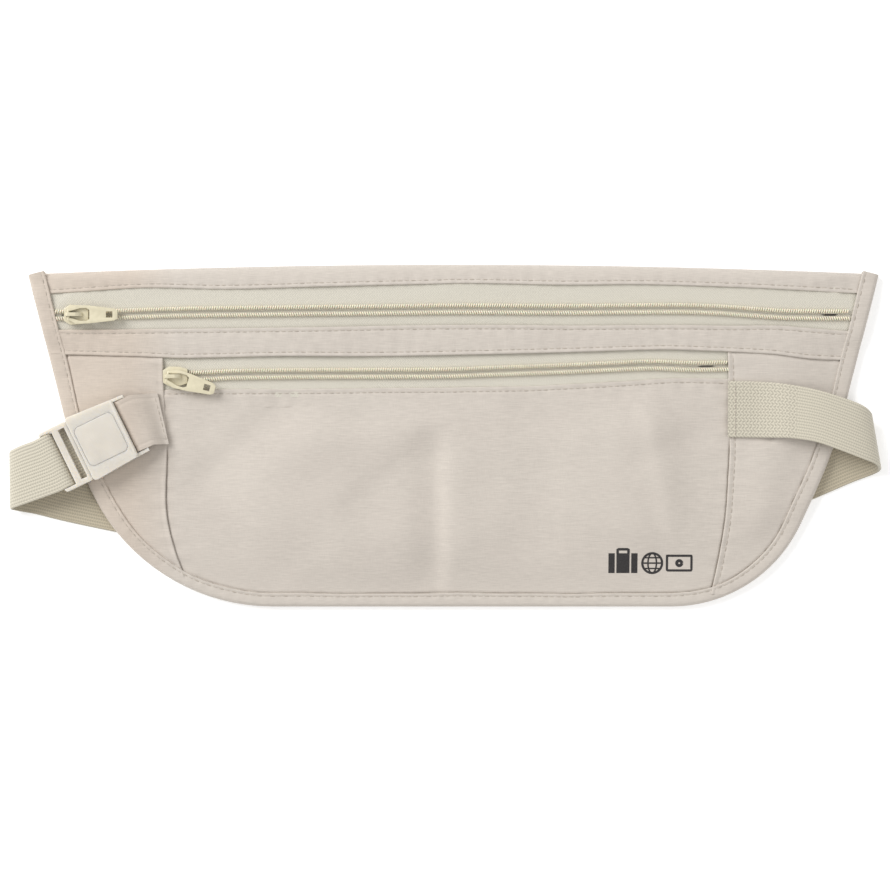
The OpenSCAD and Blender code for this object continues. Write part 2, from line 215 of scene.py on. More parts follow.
# Lines along the pouch, as places and heights; the bows are steps off a straight zip
UPPER_BOW = drawn((-150, 0), (-124, 0), (-93, 0.9), (-56, 1.4), (-19, 1.8), (5, 2.1), (42, 1.9),
                  (79, 2.2), (95, 1.8), (108, 0.9), (122, 0.1), (150, 0))
LOWER_BOW = drawn((-104, 0), (-85, 0), (-75, 0.3), (-56, 0.2), (-30, -0.2), (0, -0.6),
                  (17, -0.3), (42, 0.1), (60, 0.6), (71, 0.85), (79, 0.5), (85, 0.1), (90, 0),
                  (104, 0))
HEM_FOLD = drawn((-150, 49.4), (-130, 50.5), (-105, 52.0), (-80, 51.5), (-60, 51.9), (-44, 52.4),
                 (-7, 53.3), (10, 53.6), (42, 53.0), (67, 53.2), (91, 52.6), (116, 51.6),
                 (140, 50.3), (155, 49.7))
BAND_TOP = drawn((-150, 37.0), (-117, 37.2), (-80, 37.6), (-40, 38.1), (-10, 38.7), (20, 38.8),
                 (45, 38.6), (80, 38.8), (100, 38.5), (116, 38.6), (128, 37.7), (140, 36.8),
                 (155, 36.3))
BAND_FOOT = drawn((-150, 28.8), (-130, 28.5), (-117, 28.1), (-105, 27.8), (-93, 27.3),
                  (-80, 27.5), (-56, 28.0), (-30, 27.9), (-7, 28.2), (17, 28.7), (42, 29.3),
                  (67, 30.1), (79, 30.3), (91, 29.9), (103, 29.4), (116, 28.6), (128, 27.1),
                  (140, 26.6), (155, 26.3))
POCKET_MOUTH = drawn((-108, 15.9), (-80, 16.0), (-44, 16.2), (-19, 16.5), (0, 16.6), (17, 16.9),
                     (30, 17.1), (42, 17.7), (54, 18.3), (67, 19.1), (79, 19.9), (91, 19.9),
                     (108, 19.2))


def zip_bow(x, slope):
    """How far a zip's chain bows off its straight line."""
    return height_on(LOWER_BOW if slope else UPPER_BOW, x)


# ---- How the cloth lies ----

# The arc of the strap's middle line behind the pouch
SWEEP_CENTRE = np.array([-21.7, 461.0])
SWEEP_R = 494.0


def near_sweep(x, y):
    """1 where the strap lies under the pouch, falling to 0 beside it."""
    off = np.abs(np.hypot(x - SWEEP_CENTRE[0], y - SWEEP_CENTRE[1]) - SWEEP_R)
    return 1 - smooth((off - 9) / 14)


def outside_box(x, y, half_x, half_y):
    """Distance of points from a box about the origin, 0 inside it."""
    return np.hypot(np.maximum(np.abs(x) - half_x, 0), np.maximum(np.abs(y) - half_y, 0))


def near_buckle(x, y):
    """1 under the buckle, falling to 0 beside it."""
    dx, dy = x - BUTTON_CENTRE[0], y - BUTTON_CENTRE[1]
    u = dx * BUCKLE_ALONG[0] + dy * BUCKLE_ALONG[1]
    v = dx * BUCKLE_ACROSS[0] + dy * BUCKLE_ACROSS[1]
    return 1 - smooth(outside_box(u + 2, v, 15, 11) / 16)


def edge_distance(x, y):
    """Distance of points from the pouch's edge, and from the inner fold of its binding."""
    x, y = np.broadcast_arrays(np.asarray(x, float), np.asarray(y, float))
    flat = np.stack([x.ravel(), y.ravel()], 1)
    path, wide = EDGE_PATH[::2], binding_width(EDGE_INWARD)[::2]
    found = np.empty((2, len(flat)))
    for i in range(0, len(flat), 4000):
        off = np.sqrt(((flat[i:i + 4000, None] - path[None]) ** 2).sum(2))
        found[0, i:i + 4000] = off.min(1)
        found[1, i:i + 4000] = off.min(1) - wide[off.argmin(1)]
    return found.reshape(2, *x.shape)


def near_strap_end(x, y):
    """1 under the sewn ends of the strap and of the buckle's tab, falling to 0 beside them."""
    strap, tab = outside_box(x - 105, y - 9.2, 9, 10.5), outside_box(x + 101, y - 6, 5, 9.5)
    return 1 - smooth(np.minimum(strap, tab) / 2.5)


def settle(x, y):
    """How far the pouch's front sinks towards the floor near its edges."""
    drop = bpy.context.scene.belt_cloth.edge_drop / MM
    zip_hold = 0.75 * (1 - smooth((np.abs(y - UPPER_ZIP_Y) - 5) / 8))
    hold = np.maximum(np.maximum(0.6 * near_sweep(x, y), near_buckle(x, y)), zip_hold)
    side = 1 - smooth((edge_distance(x, y)[0] - 2) / 24)
    top = 0.8 * smooth((y - (POUCH_TOP - 8)) / 8)
    return -drop * (1 - hold) * np.maximum(side, top)


def ripple(x, y, scale, seed):
    """Soft irregular waves of about the given length, from -1 to 1."""
    x, y = np.broadcast_arrays(np.asarray(x, float), np.asarray(y, float))
    flat = [noise.noise(Vector((a / scale, b / scale, seed))) for a, b in zip(x.ravel(), y.ravel())]
    return np.array(flat).reshape(x.shape)


def crease(x, y, start, end, width, depth, right_width=None):
    """A soft valley from start to end, with its own width on the right of that direction."""
    a, b = np.array(start, float), np.array(end, float)
    d = b - a
    t = ((x - a[0]) * d[0] + (y - a[1]) * d[1]) / (d @ d)
    aside = ((x - a[0]) * d[1] - (y - a[1]) * d[0]) / np.hypot(*d)
    reach = np.where(aside > 0, right_width or width, width)
    fade = smooth(t / 0.25) * smooth((1 - t) / 0.25)
    return -depth * fade * np.exp(-(aside / reach) ** 2)


def furrow(off, at, wide, depth):
    """A narrow furrow at a distance from a line."""
    return -depth * np.exp(-((off - at) / wide) ** 2)


def crowded(count, amount=0.7):
    """Shares from 0 to 1 that lie closer together towards both ends."""
    t = np.linspace(0, 1, count)
    return t - amount * np.sin(2 * np.pi * t) / (2 * np.pi)


# ---- Shared modelling steps ----

def deselect():
    """Leaves edit mode with nothing selected."""
    if bpy.context.object and bpy.context.object.mode != "OBJECT":
        bpy.ops.object.mode_set(mode="OBJECT")
    bpy.ops.object.select_all(action="DESELECT")


def choose(piece):
    """Makes one piece the selected and active one."""
    deselect()
    piece.select_set(True)
    bpy.context.view_layer.objects.active = piece


@contextmanager
def editing(piece):
    """Edit mode with the whole of one piece selected."""
    choose(piece)
    bpy.ops.object.mode_set(mode="EDIT")
    bpy.ops.mesh.select_all(action="SELECT")
    yield
    bpy.ops.object.mode_set(mode="OBJECT")


def named(piece, name):
    """Gives a piece and its mesh their name."""
    piece.name = name
    piece.data.name = name
    return piece


def grid_piece(name, points):
    """A grid primitive whose vertices are moved to rows of points, in millimetres."""
    rows, columns = points.shape[:2]
    deselect()
    bpy.ops.mesh.primitive_grid_add(
        x_subdivisions=columns - 1, y_subdivisions=rows - 1, size=1, location=(0, 0, 0))
    piece = named(bpy.context.object, name)
    start = np.empty(rows * columns * 3)
    piece.data.vertices.foreach_get("co", start)
    start = start.reshape(-1, 3)
    column = np.rint((start[:, 0] + 0.5) * (columns - 1)).astype(int)
    row = np.rint((start[:, 1] + 0.5) * (rows - 1)).astype(int)
    piece.data.vertices.foreach_set("co", (points[row, column] * MM).ravel())
    piece.data.update()
    return piece


def apply_modifier(piece, kind, **settings):
    """Adds one modifier and applies it."""
    choose(piece)
    modifier = piece.modifiers.new(kind.title(), kind)
    for key, value in settings.items():
        setattr(modifier, key, value)
    bpy.ops.object.modifier_apply(modifier=modifier.name)


def smooth_shaded(piece, angle=50):
    """Shades a piece smooth, but for its sharp edges."""
    choose(piece)
    bpy.ops.object.shade_smooth_by_angle(angle=math.radians(angle))


def flip(piece):
    """Turns all faces of a piece over."""
    with editing(piece):
        bpy.ops.mesh.flip_normals()


def turn_over(piece):
    """Turns the faces of a sheet whose back came out on top, by its foremost face."""
    faces = piece.data.polygons
    if max(faces, key=lambda f: (round(f.center.z, 5), f.area)).normal.z < 0:
        flip(piece)


def dress(piece, material, body="root"):
    """Gives a piece its material, and lets it ride."""
    piece.data.materials.clear()
    piece.data.materials.append(material)
    if body:
        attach(piece, body)


def finish_sheet(piece, thickness, node_name, material="cloth"):
    """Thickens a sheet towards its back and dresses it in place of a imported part."""
    apply_modifier(piece, "SOLIDIFY", thickness=thickness, offset=-1)
    smooth_shaded(piece, 60)
    dress(piece, material_of(material))
    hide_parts(node_name)


def spread(left, right, shares):
    """Rows of places from left to right, at the given shares of the way."""
    return left[:, None] + (right - left)[:, None] * shares[None]


def along_webbing(upper, lower):
    """The middle line between a webbing's two edges, and the direction its face looks in."""
    middle = (upper + lower) / 2
    across = (upper - lower) / np.linalg.norm(upper - lower, axis=1)[:, None]
    facing = np.cross(tangents_of(middle), across)
    return middle, facing / np.linalg.norm(facing, axis=1)[:, None]


def across_webbing(upper, lower, share, facing, rise):
    """Rows of points across a webbing, each raised off its face."""
    return (lower[:, None] + (upper - lower)[:, None] * share[None, :, None]
            + facing[:, None] * rise[None, :, None])


def length_of(path):
    """Length of a path of points."""
    return np.linalg.norm(np.diff(path, axis=0), axis=1).sum()


def scale_uv(piece, width, length):
    """Makes a grid's own UV map run in millimetres."""
    layer = piece.data.uv_layers.active.data
    uv = np.empty(len(layer) * 2)
    layer.foreach_get("uv", uv)
    layer.foreach_set("uv", (uv.reshape(-1, 2) * (width, length)).ravel())


# ---- Materials ----

def node(tree, kind, **settings):
    """Adds a node with its settings."""
    made = tree.nodes.new(kind)
    for key, value in settings.items():
        setattr(made, key, value)
    return made


def shader(name, colour, roughness, values=()):
    """A new material, with its Principled shader, its tree and its Object coordinates. Values
    are other sockets' names and numbers."""
    material = bpy.data.materials.new(name)
    material.use_nodes = True
    tree = material.node_tree
    surface = tree.nodes["Principled BSDF"]
    surface.inputs["Base Color"].default_value = (*colour, 1)
    surface.inputs["Roughness"].default_value = roughness
    for socket, value in values:
        surface.inputs[socket].default_value = value
    return material, surface, tree, node(tree, "ShaderNodeTexCoord").outputs["Object"]


def scaled_noise(tree, source, scale, detail=2.0):
    """Noise on coordinates stretched by a scale along each axis."""
    mapping = node(tree, "ShaderNodeMapping")
    mapping.inputs["Scale"].default_value = scale
    tree.links.new(source, mapping.inputs["Vector"])
    texture = node(tree, "ShaderNodeTexNoise")
    texture.inputs["Scale"].default_value = 1
    texture.inputs["Detail"].default_value = detail
    tree.links.new(mapping.outputs["Vector"], texture.inputs["Vector"])
    return texture.outputs["Fac"]


def axes(tree, place):
    """The coordinates of a place, one by one."""
    apart = node(tree, "ShaderNodeSeparateXYZ")
    tree.links.new(place, apart.inputs[0])
    return apart.outputs


def maths(tree, operation, a, b=None):
    """A Math node on sockets or numbers."""
    made = node(tree, "ShaderNodeMath", operation=operation)
    for socket, value in zip(made.inputs, (a, b)):
        if isinstance(value, (int, float)):
            socket.default_value = value
        elif value is not None:
            tree.links.new(value, socket)
    return made.outputs[0]


def weighed(tree, *parts, plus=0.0):
    """A sum of sockets, each times its weight, and a number."""
    total = plus
    for socket, weight in parts:
        total = maths(tree, "ADD", maths(tree, "MULTIPLY", socket, weight), total)
    return total


def ribbing(tree, along, pitch):
    """A sine wave of the given pitch, from -1 to 1."""
    return maths(tree, "SINE", maths(tree, "MULTIPLY", along, 2 * math.pi / pitch))


def between(tree, factor, low, high):
    """A colour between two, by a factor from 0.3 to 0.7 as noise gives it."""
    ramp = node(tree, "ShaderNodeValToRGB")
    for element, position, colour in zip(ramp.color_ramp.elements, (0.3, 0.7), (low, high)):
        element.position = position
        element.color = (*colour, 1)
    tree.links.new(factor, ramp.inputs["Fac"])
    return ramp.outputs["Color"]


def shades(tree, factor, colour, darkest, lightest):
    """A colour made darker and lighter by a factor."""
    ends = [tuple(min(1.0, c * amount) for c in colour) for amount in (darkest, lightest)]
    return between(tree, factor, *ends)


def paint(tree, surface, *colours):
    """Gives a surface the product of some colours."""
    product = colours[0]
    for colour in colours[1:]:
        mix = node(tree, "ShaderNodeMix", data_type="RGBA", blend_type="MULTIPLY")
        mix.inputs["Factor"].default_value = 1
        tree.links.new(product, mix.inputs["A"])
        tree.links.new(colour, mix.inputs["B"])
        product = mix.outputs["Result"]
    tree.links.new(product, surface.inputs["Base Color"])


def bump(tree, surface, height, depth, strength=1.0):
    """Adds relief of the given depth in metres."""
    made = node(tree, "ShaderNodeBump")
    made.inputs["Distance"].default_value = depth
    made.inputs["Strength"].default_value = strength
    tree.links.new(height, made.inputs["Height"])
    tree.links.new(made.outputs["Normal"], surface.inputs["Normal"])


def cloth_material(colour):
    """Closely woven matt cloth: fine threads both ways, slubs and faint patches, and a
    warmer tone towards the left end."""
    material, surface, tree, place = shader(
        "pouch_cloth", colour, 0.85, [("Sheen Weight", 0.2), ("Sheen Roughness", 0.5)])
    warp = scaled_noise(tree, place, (4200, 500, 300))
    weft = scaled_noise(tree, place, (260, 4200, 300))
    threads = weighed(tree, (warp, 0.3), (weft, 0.7))
    patches = scaled_noise(tree, place, (30, 42, 30), 3)
    leftwards = weighed(tree, (axes(tree, place)["X"], -25.0), plus=-2.06)
    paint(tree, surface, shades(tree, threads, colour, 0.9, 1.09),
          between(tree, patches, (0.972, 0.966, 0.968), (1, 1, 1)),
          between(tree, leftwards, (1, 1, 1), (0.98, 0.935, 0.895)))
    bump(tree, surface, threads, 0.00012, 0.6)
    return material


def tape_material(colour):
    """Herringbone zip tape."""
    material, surface, tree, place = shader("zip_tape_weave", colour, 0.78,
                                            [("Sheen Weight", 0.2)])
    at = axes(tree, place)
    zigzag = maths(tree, "PINGPONG", at["Y"], 0.0012)
    ribs = ribbing(tree, maths(tree, "ADD", at["X"], zigzag), 0.0009)
    grain = scaled_noise(tree, place, (1500, 1500, 300))
    mixed = weighed(tree, (ribs, 0.175), (grain, 0.65), plus=0.175)
    paint(tree, surface, shades(tree, mixed, colour, 0.9, 1.07))
    bump(tree, surface, mixed, 0.0002, 0.7)
    return material


def elastic_material(colour, rib):
    """Ribbed elastic: rubber cords lengthwise with a fine yarn wound across them, woven in a
    bolder zigzag at the sewn end, and with painted shade where it lies low behind the pouch."""
    material, surface, tree, place = shader("elastic_webbing", colour, 0.74,
                                            [("Sheen Weight", 0.3)])
    unrolled = node(tree, "ShaderNodeUVMap").outputs["UV"]
    at = axes(tree, unrolled)
    hollow = maths(tree, "ABSOLUTE", ribbing(tree, at["X"], 2 * rib))
    slant = maths(tree, "PINGPONG", at["X"], rib)
    yarn = ribbing(tree, weighed(tree, (at["Y"], 1.0), (slant, 0.5)), 0.85)
    grain = scaled_noise(tree, unrolled, (2.5, 2.5, 1))
    lean = maths(tree, "PINGPONG", at["X"], rib * 0.9)
    zigzag = ribbing(tree, maths(tree, "ADD", at["Y"], lean), 1.25)
    near_end = maths(tree, "LESS_THAN", at["Y"], 24.0)
    level = weighed(tree, (hollow, 0.42), (yarn, 0.13), (grain, 0.3),
                    (maths(tree, "MULTIPLY", zigzag, near_end), 0.32), plus=0.13)
    # painted shade: the colour darkens towards the floor, where the strap runs behind the pouch
    layer = weighed(tree, (axes(tree, place)["Z"], 0.4 / 0.003), plus=0.1)
    paint(tree, surface, shades(tree, level, colour, 0.8, 1.13),
          between(tree, layer, (0.87, 0.83, 0.76), (1.02, 1.02, 1.02)))
    bump(tree, surface, level, 0.0002, 0.65)
    return material


def thread_material(colour):
    """Twisted sewing thread."""
    material, surface, tree, place = shader("sewing_thread", colour, 0.6,
                                            [("Sheen Weight", 0.2)])
    twist = scaled_noise(tree, place, (5000, 5000, 5000), 1)
    paint(tree, surface, shades(tree, twist, colour, 0.8, 1.1))
    bump(tree, surface, twist, 0.0001)
    return material


def teeth_material(colour):
    """Nylon coil: slightly glossy, a little uneven in tone."""
    material, surface, tree, place = shader(
        "nylon_teeth", colour, 0.38, [("Subsurface Weight", 0.1), ("Subsurface Scale", 0.0005)])
    cloudy = scaled_noise(tree, place, (300, 900, 900))
    paint(tree, surface, shades(tree, cloudy, colour, 0.9, 1.06))
    return material


def enamel_material(colour):
    """Painted zinc: smooth paint with faint unevenness and worn spots."""
    material, surface, tree, place = shader("slider_enamel", colour, 0.34,
                                            [("Coat Weight", 0.25)])
    uneven = scaled_noise(tree, place, (700, 700, 700), 3)
    paint(tree, surface, shades(tree, uneven, colour, 0.93, 1.03))
    tree.links.new(weighed(tree, (uneven, 0.25), plus=0.22), surface.inputs["Roughness"])
    bump(tree, surface, uneven, 0.00012, 0.35)
    return material


def milky_material(colour):
    """Milky moulded plastic, fine-grained and slightly translucent."""
    material, surface, tree, place = shader(
        "milky_plastic", colour, 0.36,
        [("Specular IOR Level", 0.35), ("Subsurface Weight", 0.6),
         ("Subsurface Radius", (1.0, 0.9, 0.7)), ("Subsurface Scale", 0.0025)])
    cloudy = scaled_noise(tree, place, (160, 160, 160))
    paint(tree, surface, shades(tree, cloudy, colour, 0.96, 1.03))
    grain = scaled_noise(tree, place, (3000, 3000, 3000))
    tree.links.new(weighed(tree, (grain, 0.2), plus=0.36), surface.inputs["Roughness"])
    bump(tree, surface, grain, 0.00005, 0.4)
    return material


def ink_material(colour):
    """Matt printing ink that lets the weave show."""
    material, surface, tree, place = shader("printed_ink", colour, 0.7)
    speckle = scaled_noise(tree, place, (2500, 2500, 2500))
    paint(tree, surface, shades(tree, speckle, colour, 0.8, 1.7))
    bump(tree, surface, speckle, 0.0001, 0.5)
    return material


MATERIALS = {}


def material_of(name):
    """Each finish, made when it is first used."""
    scene = bpy.context.scene
    makers = {
        "cloth": lambda: cloth_material(scene.belt_cloth.colour),
        "tape": lambda: tape_material(scene.belt_zip.tape_colour),
        "teeth": lambda: teeth_material(scene.belt_zip.teeth_colour),
        "enamel": lambda: enamel_material(scene.belt_zip.slider_colour),
        "elastic": lambda: elastic_material(scene.belt_strap.colour, scene.belt_strap.rib / MM),
        "thread": lambda: thread_material(scene.belt_thread.colour),
        "milky": lambda: milky_material(scene.belt_buckle.colour),
        "ink": lambda: ink_material(scene.belt_print.colour),
    }
    if name not in MATERIALS:
        MATERIALS[name] = makers[name]()
    return MATERIALS[name]


# ---- Settings ----

class BeltClothSettings(bpy.types.PropertyGroup):
    """The pouch's cloth."""
    colour: FloatVectorProperty(
        name="Cloth colour", description="Colour of the woven cloth", subtype="COLOR",
        size=3, min=0, max=1, default=(0.592, 0.54, 0.482))
    thickness: FloatProperty(
        name="Thickness", description="Thickness of a panel of cloth", unit="LENGTH",
        default=0.0003, min=0.0002, max=0.001, precision=5)
    folded_thickness: FloatProperty(
        name="Folded thickness", description="Thickness of the cloth in the folded strips",
        unit="LENGTH", default=0.00025, min=0.0002, max=0.001, precision=5)
    puff: FloatProperty(
        name="Puff", description="How far the empty front pocket stands proud",
        unit="LENGTH", default=0.0024, min=0, max=0.006, precision=5)
    edge_drop: FloatProperty(
        name="Edge drop", description="How far the edges sink towards the floor",
        unit="LENGTH", default=0.0015, min=0, max=0.002, precision=5)
    binding_width: FloatProperty(
        name="Binding width", description="Width of the edge binding on the sides",
        unit="LENGTH", default=0.0059, min=0.004, max=0.008, precision=5)


class BeltThreadSettings(bpy.types.PropertyGroup):
    """The sewing thread."""
    colour: FloatVectorProperty(
        name="Thread colour", description="Colour of the sewing thread", subtype="COLOR",
        size=3, min=0, max=1, default=(0.50, 0.445, 0.38))
    diameter: FloatProperty(
        name="Diameter", description="Thickness of the thread", unit="LENGTH",
        default=0.00034, min=0.0002, max=0.0006, precision=5)
    pitch: FloatProperty(
        name="Pitch", description="Distance from one stitch to the next", unit="LENGTH",
        default=0.0023, min=0.0015, max=0.004, precision=5)


class BeltZipSettings(bpy.types.PropertyGroup):
    """The two zips."""
    tape_colour: FloatVectorProperty(
        name="Tape colour", description="Colour of the zip tape", subtype="COLOR",
        size=3, min=0, max=1, default=(0.625, 0.592, 0.51))
    teeth_colour: FloatVectorProperty(
        name="Teeth colour", description="Colour of the coil teeth", subtype="COLOR",
        size=3, min=0, max=1, default=(0.86, 0.80, 0.63))
    slider_colour: FloatVectorProperty(
        name="Slider colour", description="Colour of the painted sliders", subtype="COLOR",
        size=3, min=0, max=1, default=(0.70, 0.64, 0.465))
    pitch: FloatProperty(
        name="Tooth pitch", description="Distance from one tooth to the next",
        unit="LENGTH", default=0.00082, min=0.0006, max=0.002, precision=5)
    tape_thickness: FloatProperty(
        name="Tape thickness", description="Thickness of the zip tapes", unit="LENGTH",
        default=0.00035, min=0.0002, max=0.001, precision=5)


class BeltStrapSettings(bpy.types.PropertyGroup):
    """The elastic strap."""
    colour: FloatVectorProperty(
        name="Elastic colour", description="Colour of the elastic", subtype="COLOR",
        size=3, min=0, max=1, default=(0.55, 0.51, 0.415))
    rib: FloatProperty(
        name="Rib pitch", description="Distance from one rib to the next", unit="LENGTH",
        default=0.0011, min=0.0008, max=0.002, precision=5)
    thickness: FloatProperty(
        name="Elastic thickness", description="Thickness of the elastic", unit="LENGTH",
        default=0.00085, min=0.0005, max=0.002, precision=5)
    rib_count: IntProperty(
        name="Ribs", description="Number of lengthwise ribs", default=18, min=8, max=24)


class BeltBuckleSettings(bpy.types.PropertyGroup):
    """The push-release buckle."""
    colour: FloatVectorProperty(
        name="Plastic colour", description="Colour of the moulded plastic", subtype="COLOR",
        size=3, min=0, max=1, default=(0.70, 0.655, 0.585))
    tab_thickness: FloatProperty(
        name="Tab thickness", description="Thickness of the cloth tab round the buckle's bar",
        unit="LENGTH", default=0.00042, min=0.0002, max=0.001, precision=5)
    rounding: FloatProperty(
        name="Rounding", description="Radius of the moulded edges", unit="LENGTH",
        default=0.0003, min=0.0001, max=0.0006, precision=5)


class BeltPrintSettings(bpy.types.PropertyGroup):
    """The small printed pictogram."""
    colour: FloatVectorProperty(
        name="Ink colour", description="Colour of the printing ink", subtype="COLOR",
        size=3, min=0, max=1, default=(0.02, 0.018, 0.018))


class BeltStageSettings(bpy.types.PropertyGroup):
    """Camera, floor and lights."""
    view_width: FloatProperty(
        name="View width", description="Width that the camera sees at the floor",
        unit="LENGTH", default=0.3123, min=0.2, max=1)
    lens: FloatProperty(
        name="Lens", description="Focal length in millimetres", default=100, min=35, max=200)
    floor_colour: FloatVectorProperty(
        name="Floor colour", description="Colour of the pale floor", subtype="COLOR",
        size=3, min=0, max=1, default=(0.93, 0.93, 0.93))


# ---- Pieces ----

class BELT_OT_stage(bpy.types.Operator):
    """Camera above the belt, a pale floor and soft light"""
    bl_idname = "belt.stage"
    bl_label = "Stage"

    def execute(self, context):
        stage = context.scene.belt_stage
        context.scene.view_settings.view_transform = "Standard"
        deselect()
        sensor = 36.0
        distance = stage.view_width * stage.lens / sensor
        view_y = -3.3 * MM
        bpy.ops.object.camera_add(location=(0, view_y, distance + 0.005), rotation=(0, 0, 0))
        camera = context.object
        camera.data.sensor_width = sensor
        camera.data.lens = stage.lens
        context.scene.camera = camera
        self.add_floor(stage)
        self.add_lights(context.scene)
        return {"FINISHED"}

    def add_floor(self, stage):
        """A large pale floor."""
        deselect()
        bpy.ops.mesh.primitive_plane_add(size=8, location=(0, 0, -0.00002))
        floor = named(bpy.context.object, "floor")
        material, surface, tree, place = shader(
            "pale_floor", stage.floor_colour, 0.9,
            [("Emission Color", (1, 1, 1, 1)), ("Emission Strength", 0.28)])
        mottle = scaled_noise(tree, place, (6, 6, 6))
        paint(tree, surface, shades(tree, mottle, stage.floor_colour, 0.995, 1.0))
        floor.data.materials.append(material)

    def add_lights(self, scene):
        """A fairly low key from the upper left, a weak fill and white surroundings."""
        for name, place, size, power in (
            ("key", (-1.5, 1.1, 1.3), 1.3, 43),
            ("fill", (0.9, -0.5, 1.3), 1.2, 6),
        ):
            deselect()
            bpy.ops.object.light_add(type="AREA", location=place)
            light = bpy.context.object
            light.name = name
            light.data.size = size
            light.data.energy = power
            aim = -Vector(place)
            light.rotation_mode = "QUATERNION"
            light.rotation_quaternion = aim.to_track_quat("-Z", "Y")
        world = bpy.data.worlds.new("studio")
        scene.world = world
        world.use_nodes = True
        white = world.node_tree.nodes["Background"]
        white.inputs["Color"].default_value = (1, 0.995, 0.985, 1)
        white.inputs["Strength"].default_value = 0.54


def pocket_mouth(x):
    """Height of the front pocket's fold along its mouth."""
    return height_on(POCKET_MOUTH, x)


# The front pocket's creases: start, end, width, depth, and width on the right if it differs
POCKET_CREASES = (
    ((-3, 6), (-2.5, -60), 2.6, 1.25, 9),
    ((5, 2), (6, -50), 7, -0.35),
    ((-94, -24), (-47, 19), 6, 0.65, 10),
    ((-42, -33), (4, 5), 5, 0.5, 12),
    ((69, 20), (82, -42), 7, -0.6, 4),
    ((-93, 6), (-56, -8), 5, 0.3),
    ((-88, -24), (-52, -54), 6, 0.4),
    ((96, 4), (58, -14), 5, 0.3),
    ((24, -28), (88, -48), 6, 0.35),
    ((-60, 12), (-20, 4), 4, 0.25),
    ((20, 14), (48, -2), 5, 0.3),
)


def pocket_relief(x, y):
    """The front pocket's slack: a low puff, waves and a few soft creases."""
    left, right = place_on(LEFT_SEAM, y), place_on(RIGHT_SEAM, y)
    inside = (smooth((x - left) / 34) * smooth((right - x) / 34)
              * smooth((y - POUCH_BOTTOM - 3) / 26) * smooth((pocket_mouth(x) - y) / 20))
    puff = bpy.context.scene.belt_cloth.puff / MM
    waves = 0.62 + 0.85 * ripple(x, y, 46, 3.7) + 0.4 * ripple(x, y, 19, 8.1)
    lines = sum(crease(x, y, *line) for line in POCKET_CREASES)
    near_seams = smooth((x - left) / 8) * smooth((right - x) / 8)
    return puff * inside * waves + 1.6 * lines * near_seams


def pocket_height(x, y):
    """Height of the front pocket's cloth."""
    left, right = x - place_on(LEFT_SEAM, y), place_on(RIGHT_SEAM, y) - x
    below = pocket_mouth(x) - y
    seam = furrow(left, 0.3, 0.35, 0.5) + furrow(right, 0.3, 0.35, 0.5)
    return (POCKET_LEVEL + settle(x, y) + pocket_relief(x, y)
            + pucker(below, x) + pucker(left, y) + pucker(right, y)
            + furrow(below, STITCH_IN, 0.55, 0.14) + seam * (1 - near_strap_end(x, y))
            + furrow(edge_distance(x, y)[1], 0.2, 0.3, 0.45))


def pucker(distance, along, depth=0.16, reach=4.5, pitch=6.5):
    """Small gathers that a row of stitches leaves in the cloth."""
    wave = np.sin(along * 2 * np.pi / pitch + 1.7 * np.sin(along / 23))
    return depth * wave * np.exp(-(distance / reach) ** 2)


class BELT_OT_pocket(bpy.types.Operator):
    """Front pocket panel with its folded mouth"""
    bl_idname = "belt.pocket"
    bl_label = "Front pocket"

    def execute(self, context):
        shares = crowded(112)
        base = CLOTH_BOTTOM + (pocket_mouth(0) - CLOTH_BOTTOM) * shares
        lap = 4
        left = np.maximum(place_on(LEFT_SEAM, base) - lap, place_on(LEFT_EDGE, base) + 1)
        right = np.minimum(place_on(RIGHT_SEAM, base) + lap, place_on(RIGHT_EDGE, base) - 1)
        x = spread(left, right, crowded(170))
        y = CLOTH_BOTTOM + (pocket_mouth(x) - CLOTH_BOTTOM) * shares[:, None]
        front = np.stack([x, y, pocket_height(x, y)], 2)
        fold = []
        for back, down in ((-0.25, 0.12), (-0.3, 0.35), (-0.1, 0.55), (2.5, 0.62), (6, 0.66)):
            row = front[-1].copy()
            row[:, 1] -= back
            row[:, 2] -= down
            fold.append(row)
        piece = grid_piece("front_pocket_cloth", np.concatenate([front, np.stack(fold)]))
        finish_sheet(piece, context.scene.belt_cloth.thickness, "front_pocket_panel")
        return {"FINISHED"}


class BELT_OT_linings(bpy.types.Operator):
    """Back panel and the divider behind the front pocket"""
    bl_idname = "belt.linings"
    bl_label = "Back and divider"

    def execute(self, context):
        self.add("back_cloth", "back_panel", POUCH_TOP - 1.4, self.back_height)
        self.add("divider_cloth", "divider_panel", 35.8, self.divider_height)
        return {"FINISHED"}

    @staticmethod
    def back_height(x, y):
        """The back sags onto the floor beside the strap."""
        edge = smooth((POUCH_TOP - y) / 12)
        return (0.55 + 0.8 * near_sweep(x, y) + 0.25 * ripple(x, y, 40, 1.3) * edge
                + 0.95 * smooth((y - POUCH_TOP + 14) / 6))

    @classmethod
    def divider_height(cls, x, y):
        """The divider lies between the back and the front."""
        front = POCKET_LEVEL + settle(x, y) - 0.9
        return np.minimum(box_mm("divider_panel")[1][2], 0.6 * front + 0.4 * cls.back_height(x, y))

    def add(self, name, node_name, top, height):
        """One panel, from the bottom of the pouch to its top."""
        base = np.linspace(CLOTH_BOTTOM, top, 60)
        left, right = place_on(LEFT_EDGE, base) + 0.7, place_on(RIGHT_EDGE, base) - 0.7
        x = spread(left, right, np.linspace(0, 1, 110))
        bow = 1 - ((x - POUCH_MIDDLE) / (right - left)[:, None] * 2) ** 2
        lower_corners = 3 if node_name == "back_panel" else 0
        y = base[:, None] - lower_corners * (1 - bow) * smooth((base - 20) / 40)[:, None]
        piece = grid_piece(name, np.stack([x, y, height(x, y)], 2))
        finish_sheet(piece, bpy.context.scene.belt_cloth.thickness, node_name)


